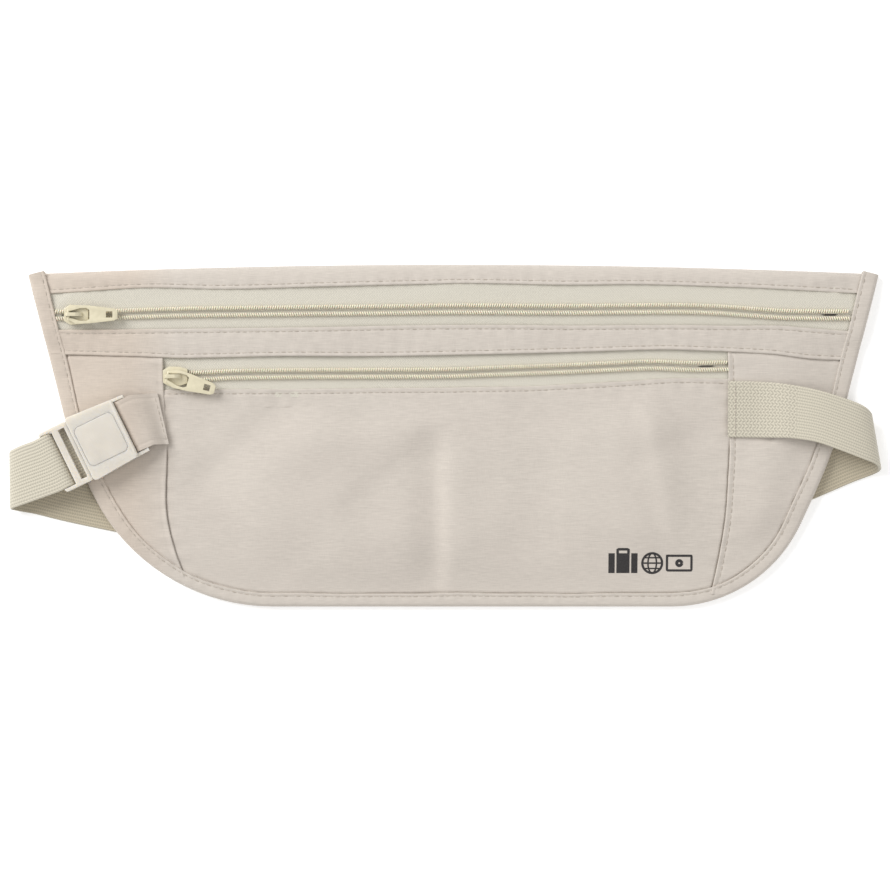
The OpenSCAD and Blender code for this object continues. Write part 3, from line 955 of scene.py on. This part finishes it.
def side_height(x, y, seam, inward):
    """Height of a side panel's cloth; inward is the direction from the edge to the seam."""
    to_seam = inward * (place_on(seam, y) - x)
    edge, gap = edge_distance(x, y)
    below = height_on(BAND_FOOT, x) - y
    flat = near_strap_end(x, y)
    slack = (0.9 * ripple(x, y, 26, 5.2) + 0.9 * (0.5 + ripple(x, y, 38, 2.2))) * (
        smooth(to_seam / 14) * smooth((edge - 5) / 12) * smooth(below / 10))
    calm = 1 - 0.9 * np.maximum(near_buckle(x, y), flat)
    return (SIDE_LEVEL + settle(x, y) + slack * calm + pucker(to_seam, y) * (1 - flat)
            + furrow(to_seam, 1.5, 0.5, 0.14 if inward < 0 else 0.05)
            - furrow(to_seam, 0, 0.8, 0.18) * (1 - flat)
            + furrow(gap, 0.2, 0.3, 0.5) - 0.6 * smooth((1.5 - below) / 1.5))


class BELT_OT_sides(bpy.types.Operator):
    """Left and right side panels, folded over the ends of the front pocket"""
    bl_idname = "belt.sides"
    bl_label = "Side panels"

    def execute(self, context):
        self.add("left_side_cloth", "left_side_panel", LEFT_SEAM, LEFT_EDGE, 1)
        self.add("right_side_cloth", "right_side_panel", RIGHT_SEAM, RIGHT_EDGE, -1)
        return {"FINISHED"}

    def add(self, name, node_name, seam, edge, inward):
        """One side panel; inward is the direction from the pouch's edge to the seam."""
        heights = np.linspace(-70, 28, 400)
        room = inward * (place_on(seam, heights) - place_on(edge, heights))
        low = heights[np.argmax((room > 2.2) & (heights > -56))]
        top = 30.0
        shares = crowded(96, 0.5)
        base = low + (top - low) * shares
        outer = place_on(edge, base) + inward * 0.8
        inner = place_on(seam, base)
        x = spread(outer, inner, crowded(56))
        y = base[:, None] + (height_on(BAND_FOOT, x) + 2 - top) * shares[:, None] ** 6
        panel = np.stack([x, y, side_height(x, y, seam, inward)], 2)
        fold = []
        for beyond, down in ((0.25, 0.12), (0.32, 0.3), (0.1, 0.5)):
            column = panel[:, -1].copy()
            column[:, 0] += inward * beyond
            column[:, 2] -= down
            fold.append(column)
        for back in (0.5, 1):
            x_back = inner - inward * back * np.minimum(5, 0.5 * np.abs(inner - outer))
            level = side_height(x_back, panel[:, -1, 1], seam, inward) - 0.5
            fold.append(np.column_stack([x_back, panel[:, -1, 1], level]))
        points = np.concatenate([panel, np.stack(fold, 1)], 1)
        piece = grid_piece(name, points if inward > 0 else points[:, ::-1])
        finish_sheet(piece, bpy.context.scene.belt_cloth.thickness, node_name)


# Section of a strip's lower edge, turned under: share of the way from its low line to its
# high one, step beyond that, drop, and share of the way down to its lowest level
TURNED_EDGE = [(0, 4.5, 0.6, 0), (0, 2.5, 0.58, 0), (0, 0.15, 0.5, 0), (0, -0.1, 0.3, 0),
               (0, 0, 0.12, 0), (0, 0.3, 0, 0), (0, 0.8, 0.02, 0), (0, 1.05, 0.1, 0),
               (0, 1.3, 0.16, 0), (0, 1.55, 0.1, 0), (0, 1.9, 0.02, 0)]


def strip_piece(node_name, x, low, high, section, front, floor=0.0):
    """A strip of cloth along X between two lines, with a section like the turned edge's."""
    rows = []
    for share, step, drop, down in section:
        y = low + (high - low) * share + step
        z = front(x, y) * (1 - down) + floor * down - drop
        rows.append(np.stack([x, y, z], 1))
    piece = grid_piece(f"{node_name}_cloth", np.stack(rows))
    turn_over(piece)
    finish_sheet(piece, bpy.context.scene.belt_cloth.folded_thickness, node_name)


def band_height(x, y):
    """Height of the band between the zips."""
    low, high = y - height_on(BAND_FOOT, x), height_on(BAND_TOP, x) - y
    return (BAND_LEVEL + settle(x, y) + pucker(low - STITCH_IN, x, 0.12, 2.5, 5.5)
            + pucker(high - STITCH_IN, x + 3, 0.12, 2.5, 6.1) + 0.3 * ripple(x, y, 22, 6.6)
            + 0.25 * np.exp(-(low / 1.5) ** 2) + 0.1 * np.exp(-(high / 1.5) ** 2))


class BELT_OT_band(bpy.types.Operator):
    """The band between the two zips, folded under along both edges"""
    bl_idname = "belt.band"
    bl_label = "Band"

    def execute(self, context):
        half = TURNED_EDGE + [(0, 3, -0.05, 0)]
        other = [(1, -step, drop, 0) for _, step, drop, _ in reversed(half)]
        x = np.arange(place_on(LEFT_EDGE, BAND_Y) + 1.5, place_on(RIGHT_EDGE, BAND_Y) - 1.5, 1.2)
        strip_piece("zip_band", x, height_on(BAND_FOOT, x), height_on(BAND_TOP, x),
                    half + [(0.5, 0, -0.08, 0)] + other, band_height)
        return {"FINISHED"}


def top_line(x):
    """Height of the pouch's bowed top edge."""
    half = (place_on(RIGHT_EDGE, CORNER_Y) - place_on(LEFT_EDGE, CORNER_Y)) / 2
    rise = POUCH_TOP - CORNER_Y
    return CORNER_Y + rise * (1 - ((x - POUCH_MIDDLE) / half) ** 2)


def hem_height(x, y):
    """Height of the hem's front."""
    fold = y - height_on(HEM_FOLD, x)
    return (HEM_LEVEL + settle(x, y) + pucker(fold - STITCH_IN, x, 0.13, 2.5, 5.5)
            + 0.25 * ripple(x, y, 24, 9.4) + 0.15 * np.exp(-(fold / 1.5) ** 2))


class BELT_OT_hem(bpy.types.Operator):
    """The hem turned over the pouch's top edge"""
    bl_idname = "belt.hem"
    bl_label = "Top hem"

    def execute(self, context):
        over_the_top = [(0, 2.8, -0.1, 0), (1, -3, -0.14, 0), (1, -2, -0.08, 0),
                        (1, -1.2, 0.1, 0.03), (1, -0.6, 0.25, 0.12), (1, -0.2, 0.2, 0.3),
                        (1, 0, 0.1, 0.5), (1, -0.15, 0.05, 0.7), (1, -0.6, 0, 0.88),
                        (1, -1.4, 0, 0.98), (1, -3, 0, 1), (1, -7, 0, 1), (1, -9, 0, 1),
                        (1, -8.8, -0.4, 1), (1, -7, -0.45, 1)]
        x = np.arange(place_on(LEFT_EDGE, CORNER_Y) + 1.2, place_on(RIGHT_EDGE, CORNER_Y) - 1.2,
                      1.2)
        strip_piece("top_hem", x, height_on(HEM_FOLD, x), top_line(x),
                    TURNED_EDGE + over_the_top, hem_height, 0.35)
        return {"FINISHED"}


BINDING_SEAM = 0.8  # share of the binding's width where it is stitched


def binding_width(inward):
    """Width of the binding, a little less along the bottom."""
    along = np.arange(len(inward)) * EDGE_STEP
    uneven = 0.16 * np.sin(along / 11) + 0.09 * np.sin(along / 4.3)
    wide = bpy.context.scene.belt_cloth.binding_width / MM
    return wide + uneven - 1.3 * np.maximum(inward[:, 1], 0) ** 2


def binding_height(path, inward, share):
    """Height of the binding's front at a share of its width from the pouch's edge."""
    wide = binding_width(inward)
    at = path + inward * (wide * share)[:, None]
    x, y = at[:, 0], at[:, 1]
    along = np.arange(len(path)) * EDGE_STEP
    return (BINDING_LEVEL + settle(x, y) + 0.18 * ripple(x, y, 20, 4.4)
            - 0.22 - 0.3 * smooth((-50 - y) / 6)
            + pucker((share - BINDING_SEAM) * wide, along, 0.12, 2.2, 5.0))


class BELT_OT_binding(bpy.types.Operator):
    """The strip folded round the side and bottom edges"""
    bl_idname = "belt.binding"
    bl_label = "Edge binding"

    def execute(self, context):
        path, inward = EDGE_PATH, EDGE_INWARD
        wide = binding_width(inward)
        shares = [(0.62, 0.7, 0), (0.8, 0.65, 0), (0.985, 0.52, 0), (1.01, 0.3, 0), (1, 0.08, 0),
                  (0.96, -0.06, 0), (0.9, -0.02, 0), (0.85, 0.05, 0), (0.8, 0.13, 0),
                  (0.75, 0.05, 0), (0.68, 0, 0), (0.5, -0.04, 0), (0.3, -0.02, 0),
                  (0.14, 0.06, 0.02), (0.06, 0.2, 0.12), (0.02, 0.3, 0.28), (0, 0.3, 0.42),
                  (0, 0.2, 0.6), (0.02, 0.1, 0.78), (0.08, 0, 0.93), (0.2, 0, 1), (0.5, 0, 1),
                  (0.9, 0, 1), (0.98, 0.2, 1)]
        columns = []
        for share, drop, down in shares:
            at = path + inward * (wide * share)[:, None]
            top = binding_height(path, inward, share) - drop
            floor = 0.2 + 0.95 * near_sweep(at[:, 0], at[:, 1]) + (0.2 if share > 0.95 else 0)
            columns.append(np.column_stack([at, top * (1 - down) + floor * down]))
        piece = grid_piece("edge_binding_cloth", np.stack(columns, 1))
        turn_over(piece)
        finish_sheet(piece, context.scene.belt_cloth.folded_thickness, "edge_binding")
        return {"FINISHED"}


class BELT_OT_tapes(bpy.types.Operator):
    """The four zip tapes"""
    bl_idname = "belt.tapes"
    bl_label = "Zip tapes"

    def execute(self, context):
        for which in ZIPS:
            self.add(which, "top", 1)
            self.add(which, "bottom", -1)
        return {"FINISHED"}

    def add(self, which, half, side):
        """One tape, flat beside its teeth and slightly wavy towards its outer edge."""
        chain, slope = ZIPS[which]
        node_name = f"{which}_zip_{half}_tape"
        if slope:
            low, high = box_mm(node_name)
            start, end, wide = low[0] + 1, high[0] - 1, 8.2
        else:
            start, end = self.under_binding(UPPER_ZIP_Y)
            wide = 10.6
        out = np.linspace(0.04, wide, 14) * side
        along = np.linspace(start, end, int((end - start) / 0.9))
        x = along[None] - slope * out[:, None]
        y = chain + slope * along[None] + out[:, None] + zip_bow(x, slope)
        y[0] += side * 0.3 * self.parted(which, x[0])
        away = np.abs(out[:, None])
        sunk = 0
        if not slope:
            left, right = self.under_binding(y[:, :1])
            x = left + (right - left) * (x - x[:, :1]) / (x[:, -1:] - x[:, :1])
            level_to = 139.5 - 5.5 * smooth((away - 4) / 3)
            sunk = settle(x, y) * smooth((np.abs(x - POUCH_MIDDLE) - level_to) / 4)
        wave = smooth((away - 3) / 5) * (0.22 * ripple(x, y, 15, 7.7) - 0.12)
        piece = grid_piece(f"{which}_zip_{half}_webbing",
                           np.stack([x, y, TAPE_LEVEL + wave + sunk], 2))
        turn_over(piece)
        thickness = bpy.context.scene.belt_zip.tape_thickness
        finish_sheet(piece, thickness, node_name, "tape")

    @staticmethod
    def under_binding(y):
        """Where an upper tape ends under the binding, at both ends."""
        return place_on(LEFT_EDGE, y) + 1.2, place_on(RIGHT_EDGE, y) - 1.2

    @staticmethod
    def parted(which, x):
        """1 where a slider's neck stops between the tapes, falling to 0 beside it."""
        reach = np.array(joint(f"{which}_zip_slide")["range_m"]) / MM
        necks = box_mm(f"{which}_slider_body")[0][0] + 1.7 + reach
        return 1 - smooth((np.abs(x[:, None] - necks[None]).min(1) - 1.9) / 0.9)


class BELT_OT_teeth(bpy.types.Operator):
    """The rows of coil teeth, one loop of monofilament repeated along each"""
    bl_idname = "belt.teeth"
    bl_label = "Zip teeth"

    def execute(self, context):
        for which in ZIPS:
            self.add(context, which, "top", 1)
            self.add(context, which, "bottom", -1)
        return {"FINISHED"}

    def add(self, context, which, half, side):
        """One row: an oval ring, repeated with an Array modifier along the zip."""
        pitch = context.scene.belt_zip.pitch
        chain, slope = ZIPS[which]
        node_name = f"{which}_zip_{half}_coil"
        low, high = box_mm(node_name)
        deselect()
        bpy.ops.mesh.primitive_torus_add(
            major_segments=10, minor_segments=5, major_radius=0.5 * MM,
            minor_radius=0.3 * MM, rotation=(0, math.pi / 2, 0))
        piece = named(context.object, f"{which}_zip_{half}_teeth")
        bpy.ops.object.transform_apply(location=True, rotation=True, scale=True)
        with editing(piece):
            bpy.ops.transform.resize(value=(0.9, 1.0, 0.78), center_override=(0, 0, 0))
        lean = 0.28 * side
        for vertex in piece.data.vertices:
            vertex.co.x += lean * vertex.co.y
        first = low[0] if slope else low[0] - 2.4
        count = int((high[0] - first) * MM / pitch)
        step = Vector((1, slope, 0)).normalized() * pitch
        apply_modifier(piece, "ARRAY", count=count, use_relative_offset=False,
                       use_constant_offset=True, constant_offset_displace=step)
        start = first + (0.5 if side > 0 else 0.5 + pitch / MM / 2)
        out = side * 1.27
        at = Vector((start - slope * out, chain + slope * start + out,
                     (TAPE_LEVEL + COIL_LEVEL) / 2)) * MM
        for vertex in piece.data.vertices:
            vertex.co += at
            vertex.co.y += float(zip_bow(vertex.co.x / MM, slope)) * MM
        smooth_shaded(piece, 70)
        dress(piece, material_of("teeth"))
        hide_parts(node_name)


def rounded_copy(node_name, name, radius, segments=3):
    """An imported part, with its corners merged and its edges rounded."""
    piece = frame["nodes"][node_name].copy()
    piece.data = piece.data.copy()
    for key in list(piece.keys()):
        del piece[key]
    piece.parent = None
    bpy.context.scene.collection.objects.link(piece)
    named(piece, name)
    with editing(piece):
        bpy.ops.mesh.remove_doubles(threshold=0.000002)
        bpy.ops.mesh.dissolve_limited(angle_limit=math.radians(1))
    apply_modifier(piece, "BEVEL", width=radius, segments=segments, limit_method="ANGLE",
                   angle_limit=math.radians(28), use_clamp_overlap=True)
    smooth_shaded(piece, 40)
    return piece


class BELT_OT_sliders(bpy.types.Operator):
    """Both sliders: body, crown and pull tab"""
    bl_idname = "belt.sliders"
    bl_label = "Sliders"

    def execute(self, context):
        for which in ("upper", "lower"):
            for part, body, radius in (("slider_body", "slider", 0.00022),
                                       ("slider_crown", "slider", 0.00022),
                                       ("pull_tab", "pull", 0.0003)):
                node_name = f"{which}_{part}"
                piece = rounded_copy(node_name, f"{node_name}_painted", radius)
                dress(piece, material_of("enamel"), f"{which}_{body}")
                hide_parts(node_name)
        return {"FINISHED"}


def sweep_point(angle, out):
    """A point on the strap's sweep behind the pouch, out from its middle line."""
    a = math.radians(angle)
    return SWEEP_CENTRE + (SWEEP_R + out) * np.array([math.cos(a), math.sin(a)])


def strap_edges():
    """The strap's upper and lower edge at listed places, from its sewn end to its loop."""
    half = 9.9
    stations = [
        ((99.3, 19.1, 5.45), (99.2, -0.6, 5.45)),
        ((102, 19.1, 5.45), (102, -0.6, 5.45)),
        ((106, 19.1, 5.45), (106, -0.65, 5.5)),
        ((110, 18.9, 5.55), (110, -0.7, 5.7)),
        ((115, 18.6, 6.5), (115, -0.75, 6.9)),
        ((121, 17.8, 7.9), (120.5, -0.9, 8.6)),
        ((130, 16.0, 8.8), (129.3, -2.2, 9.7)),
        ((138, 13.6, 8.8), (137.3, -4.9, 9.9)),
        ((145.2, 11.0, 7.9), (145.5, -8.0, 9.0)),
        ((148.6, 8.9, 6.0), (150.6, -10.0, 7.3)),
        ((149.7, 7.2, 3.9), (152.9, -11.8, 4.6)),
        ((148.4, 5.9, 1.6), (151.7, -13.3, 1.9)),
        ((144.8, 4.6, 0.75), (147.9, -14.9, 0.75)),
    ]
    for angle in range(-71, -104, -2):
        lower = np.array([0, 3.2 * smooth((-69.5 - angle) / 3) * smooth((angle + 84) / 9)])
        stations.append(((*(sweep_point(angle, -half) - lower), 0.55),
                         (*(sweep_point(angle, half) - lower), 0.55)))
    stations += [
        ((-139.5, -8.2, 0.6), (-143.8, -27.8, 0.6)),
        ((-146.5, -6.8, 0.9), (-148.8, -26.9, 0.7)),
        ((-151.4, -5.9, 2.2), (-151.9, -26.3, 1.6)),
        ((-152.6, -5.6, 4.2), (-152.6, -25.9, 3.2)),
        ((-151.6, -5.0, 6.0), (-151.4, -25.4, 4.9)),
        ((-148.0, -3.4, 7.4), (-147.2, -24.0, 6.2)),
    ]
    for u, rise in ((-22, 3.2), (-19.4, 3.75), (-17.6, 3.9), (-16.4, 3.4), (-15.9, 2.4),
                    (-15.7, 1.2), (-15.2, 0.3), (-13.8, 0), (-12, 0), (-9.6, 0)):
        upper, lower = in_buckle(u, half), in_buckle(u, -half)
        stations.append(((*upper, BUCKLE_BASE + rise), (*lower, BUCKLE_BASE + rise)))
    return (np.array([s[0] for s in stations], float), np.array([s[1] for s in stations], float))


class BELT_OT_strap(bpy.types.Operator):
    """The ribbed elastic strap, from its sewn end round the back to the buckle"""
    bl_idname = "belt.strap"
    bl_label = "Elastic strap"

    def execute(self, context):
        settings = context.scene.belt_strap
        upper, lower = strap_edges()
        both = resampled(curve_through(np.concatenate([upper, lower], 1), 6), 2.1)
        upper, lower = both[:, :3], both[:, 3:]
        middle, facing = along_webbing(upper, lower)
        ribs = settings.rib_count
        share = np.linspace(0, 1, ribs * 5 + 1)
        rib = 0.06 * np.abs(np.sin(share * ribs * np.pi)) ** 0.7
        edge = -0.18 * (smooth((0.03 - share) / 0.03) + smooth((share - 0.97) / 0.03))
        piece = grid_piece("elastic_strap", across_webbing(upper, lower, share, facing,
                                                           0.36 + rib + edge))
        length = length_of(middle)
        scale_uv(piece, np.linalg.norm(upper - lower, axis=1).mean(), length)
        if piece.data.polygons[0].normal.dot(Vector(facing[0])) < 0:
            flip(piece)
        apply_modifier(piece, "SOLIDIFY", thickness=settings.thickness, offset=-1)
        smooth_shaded(piece, 75)
        dress(piece, material_of("elastic"), body=None)
        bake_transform(piece)
        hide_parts("strap_sewn_end", "strap_right_fold", "strap_back_run",
                    "strap_left_fold", "strap_buckle_loop")
        return {"FINISHED"}


TAB_END_UPPER, TAB_END_LOWER = np.array([-100.8, 14.9]), np.array([-96.8, -3.0])
TAB_FRAME_U = 15.6


def tab_edges(share):
    """Both edges of the tab at a share of the way from the buckle to its sewn end."""
    upper, lower = in_buckle(TAB_FRAME_U, 9.6), in_buckle(TAB_FRAME_U, -9.6)
    return upper + (TAB_END_UPPER - upper) * share, lower + (TAB_END_LOWER - lower) * share


class BELT_OT_tab(bpy.types.Operator):
    """The cloth tab round the socket's bar"""
    bl_idname = "belt.tab"
    bl_label = "Buckle tab"

    def execute(self, context):
        bar_u, bar_z, round_bar = 11.1, BUCKLE_BASE + 2.4, 2.05
        sewn = box_mm("tab_stitching")[0][2]
        rows = []
        for share, z in ((1, sewn - 0.1), (0.94, sewn), (0.85, sewn + 0.02), (0.7, sewn + 0.35),
                         (0.5, sewn + 1.15), (0.3, sewn + 2.0), (0.12, sewn + 2.6)):
            rows.append((*tab_edges(share), z))
        for u, z in ((15, bar_z + 1.35), (13.4, bar_z + 1.65)):
            rows.append((in_buckle(u, 9.6), in_buckle(u, -9.6), z))
        for angle in range(90, 271, 20):
            a = math.radians(angle)
            u, z = bar_u + round_bar * math.cos(a), bar_z + round_bar * math.sin(a)
            rows.append((in_buckle(u, 9.5), in_buckle(u, -9.5), z))
        rows.append((in_buckle(14, 9.5), in_buckle(14, -9.5), bar_z - 1.75))
        for share, z in ((0.3, 5.75), (0.6, 5.2), (1, 5.05)):
            rows.append((*tab_edges(share), z))
        both = np.array([[*upper, z, *lower, z] for upper, lower, z in rows])
        both = resampled(curve_through(both, 5), 0.9)
        upper, lower = both[:, :3], both[:, 3:]
        share = crowded(48, 0.6)
        middle, facing = along_webbing(upper, lower)
        if facing[0, 2] < 0:
            facing = -facing
        wide = np.linalg.norm(upper - lower, axis=1).mean()
        edge = np.minimum(share, 1 - share) * wide
        dip = furrow(edge, 1.7, 0.45, 0.14) + 0.06 * np.sin(share * 9)
        piece = grid_piece("buckle_tab_cloth", across_webbing(upper, lower, share, facing, dip))
        if piece.data.polygons[0].normal.z < 0:
            flip(piece)
        finish_sheet(piece, context.scene.belt_buckle.tab_thickness, "buckle_tab")
        return {"FINISHED"}


class BELT_OT_buckle(bpy.types.Operator):
    """Socket, plug and push button"""
    bl_idname = "belt.buckle"
    bl_label = "Buckle"

    def execute(self, context):
        radius = context.scene.belt_buckle.rounding
        for node_name, body in (("buckle_socket", "root"), ("buckle_plug", "buckle_plug_half"),
                                ("push_button", "button")):
            piece = rounded_copy(node_name, f"{node_name}_moulded", radius, 4)
            if body == "button":
                self.close_gap(piece)
            dress(piece, material_of("milky"), body)
            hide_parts(node_name)
        return {"FINISHED"}

    @staticmethod
    def close_gap(piece):
        """Widens the button by a hair, so that it fills its hole as a moulded one does."""
        middle = (*(BUTTON_CENTRE * MM), 0)
        with editing(piece):
            bpy.ops.transform.resize(value=(1.009, 1.009, 1), center_override=middle)


def stitch_row(name, x, y, level, replaced=None):
    """A row of stitches through points in millimetres, as one piece."""
    settings = bpy.context.scene.belt_thread
    pitch = settings.pitch / MM
    radius = settings.diameter / 2
    spots = resampled(np.column_stack(np.broadcast_arrays(x, y, level)), pitch)
    deselect()
    bpy.ops.mesh.primitive_uv_sphere_add(segments=8, ring_count=5, radius=1)
    piece = named(bpy.context.object, name)
    with editing(piece):
        bpy.ops.transform.rotate(value=math.pi / 2, orient_axis="Y", center_override=(0, 0, 0))
        bpy.ops.transform.resize(value=(0.40 * settings.pitch, radius, radius),
                                 center_override=(0, 0, 0))
    model = np.array([v.co for v in piece.data.vertices])
    faces = [list(p.vertices) for p in piece.data.polygons]
    points, corners = [], []
    for a, b in zip(spots, spots[1:]):
        along = (b - a) / np.linalg.norm(b - a)
        aside = np.array([-along[1], along[0], 0])
        aside /= np.linalg.norm(aside)
        rise = np.cross(along, aside)
        corners += [[i + len(points) * len(model) for i in face] for face in faces]
        points.append((a + b) / 2 * MM + model @ np.stack([along, aside, rise]))
    mesh = bpy.data.meshes.new(name)
    mesh.from_pydata(np.concatenate(points).tolist(), [], corners)
    old = piece.data
    piece.data = mesh
    bpy.data.meshes.remove(old)
    mesh.name = name
    smooth_shaded(piece, 80)
    dress(piece, material_of("thread"))
    if replaced:
        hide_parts(replaced)


STITCH_RISE = 0.03  # from the cloth to the middle of a stitch


class BELT_OT_stitching(bpy.types.Operator):
    """Every visible row of stitches"""
    bl_idname = "belt.stitching"
    bl_label = "Stitching"

    def execute(self, context):
        path = EDGE_PATH + EDGE_INWARD * (binding_width(EDGE_INWARD) * BINDING_SEAM)[:, None]
        level = binding_height(EDGE_PATH, EDGE_INWARD, BINDING_SEAM) - 0.13 + STITCH_RISE
        stitch_row("binding_stitches", *path.T, level)
        x = self.within_binding(BAND_Y)
        for name, y in (("band_top_stitches", height_on(BAND_TOP, x) - STITCH_IN),
                        ("band_low_stitches", height_on(BAND_FOOT, x) + STITCH_IN)):
            stitch_row(name, x, y, band_height(x, y) - 0.16 + STITCH_RISE)
        x = self.within_binding(HEM_Y)
        y = height_on(HEM_FOLD, x) + STITCH_IN
        stitch_row("hem_stitches", x, y, hem_height(x, y) - 0.16 + STITCH_RISE)
        x = np.arange(-98, 99, 1.0)
        y = pocket_mouth(x) - STITCH_IN
        stitch_row("pocket_mouth_stitches", x, y, pocket_height(x, y) + STITCH_RISE)
        y = np.arange(-50, 28, 0.8)
        x = place_on(RIGHT_SEAM, y) + 1.5
        level = side_height(x, y, RIGHT_SEAM, -1) + STITCH_RISE
        stitch_row("right_seam_stitches", x, y, level)
        level = box_mm("strap_stitching")[0][2]
        stitch_row("strap_end_stitches", 101.8, np.arange(19), level, "strap_stitching")
        upper, lower = tab_edges(0.87)
        ends = [upper + (lower - upper) * share for share in (0.08, 0.92)]
        level = box_mm("tab_stitching")[0][2]
        stitch_row("tab_end_stitches", *np.transpose(ends), level, "tab_stitching")
        return {"FINISHED"}

    @staticmethod
    def within_binding(y):
        """Places along X between the left and the right binding, at one height."""
        return np.arange(place_on(LEFT_EDGE, y) + 6.5, place_on(RIGHT_EDGE, y) - 6.5, 1.0)


def ring(x, y, wide, high, count=25):
    """Points round an oval."""
    angles = np.linspace(0, 2 * np.pi, count)
    return [(x + wide * math.cos(a), y + high * math.sin(a)) for a in angles]


class BELT_OT_print(bpy.types.Operator):
    """A small print on the front pocket: a suitcase, a globe and a banknote"""
    bl_idname = "belt.print"
    bl_label = "Print"

    def execute(self, context):
        strokes = [
            ([(57.4, -44.8), (59.6, -44.8)], 7.0), ([(60.2, -44.8), (64.8, -44.8)], 7.0),
            ([(65.4, -44.8), (67.6, -44.8)], 7.0),
            ([(60.6, -41.4), (60.6, -39.9), (64.4, -39.9), (64.4, -41.4)], 0.9),
            (ring(72.8, -44.8, 3.5, 3.5), 0.8), (ring(72.8, -44.8, 1.5, 3.5), 0.55),
            ([(69.4, -44.8), (76.2, -44.8)], 0.55), ([(70.0, -42.9), (75.6, -42.9)], 0.5),
            ([(70.0, -46.7), (75.6, -46.7)], 0.5),
            ([(78.0, -42.2), (86.6, -42.2), (86.6, -47.4), (78.0, -47.4), (78.0, -41.85)], 0.8),
            (ring(82.3, -44.8, 0.9, 0.9, 17), 1.1),
        ]
        pieces = [self.ribbon(points, wide) for points, wide in strokes]
        deselect()
        for piece in pieces:
            piece.select_set(True)
        context.view_layer.objects.active = pieces[0]
        bpy.ops.object.join()
        piece = named(context.object, "pocket_print")
        dress(piece, material_of("ink"))
        return {"FINISHED"}

    @staticmethod
    def ribbon(points, wide):
        """A stroke of ink lying on the pocket's cloth."""
        path = resampled(points, 0.45)
        t = tangents_of(path)
        aside = np.stack([-t[:, 1], t[:, 0]], 1)
        rows = max(2, int(wide / 0.5) + 1)
        at = path[None] + aside[None] * (np.linspace(-0.5, 0.5, rows) * wide)[:, None, None]
        x, y = at[..., 0], at[..., 1]
        piece = grid_piece("stroke", np.stack([x, y, pocket_height(x, y) + 0.05], 2))
        turn_over(piece)
        return piece


class BELT_PT_panel(bpy.types.Panel):
    """Lists the steps that make the belt"""
    bl_label = "Money belt"
    bl_idname = "BELT_PT_panel"
    bl_space_type = "VIEW_3D"
    bl_region_type = "UI"
    bl_category = "Money belt"

    def draw(self, context):
        for step in STEPS:
            self.layout.operator(step.bl_idname)


SETTINGS = {
    "belt_cloth": BeltClothSettings,
    "belt_thread": BeltThreadSettings,
    "belt_zip": BeltZipSettings,
    "belt_strap": BeltStrapSettings,
    "belt_buckle": BeltBuckleSettings,
    "belt_print": BeltPrintSettings,
    "belt_stage": BeltStageSettings,
}

STEPS = (
    BELT_OT_stage, BELT_OT_linings, BELT_OT_pocket, BELT_OT_sides, BELT_OT_band, BELT_OT_hem,
    BELT_OT_binding, BELT_OT_tapes, BELT_OT_teeth, BELT_OT_sliders, BELT_OT_strap,
    BELT_OT_tab, BELT_OT_buckle, BELT_OT_stitching, BELT_OT_print,
)


def register():
    for group in SETTINGS.values():
        bpy.utils.register_class(group)
    for name, group in SETTINGS.items():
        setattr(bpy.types.Scene, name, PointerProperty(type=group))
    for step in (*STEPS, BELT_PT_panel):
        bpy.utils.register_class(step)


def unregister():
    for step in (BELT_PT_panel, *reversed(STEPS)):
        bpy.utils.unregister_class(step)
    for name in SETTINGS:
        delattr(bpy.types.Scene, name)
    for group in reversed(list(SETTINGS.values())):
        bpy.utils.unregister_class(group)


def main():
    """Makes every piece in order."""
    register()
    for step in STEPS:
        group, name = step.bl_idname.split(".")
        getattr(getattr(bpy.ops, group), name)()


if __name__ == "__main__":
    main()
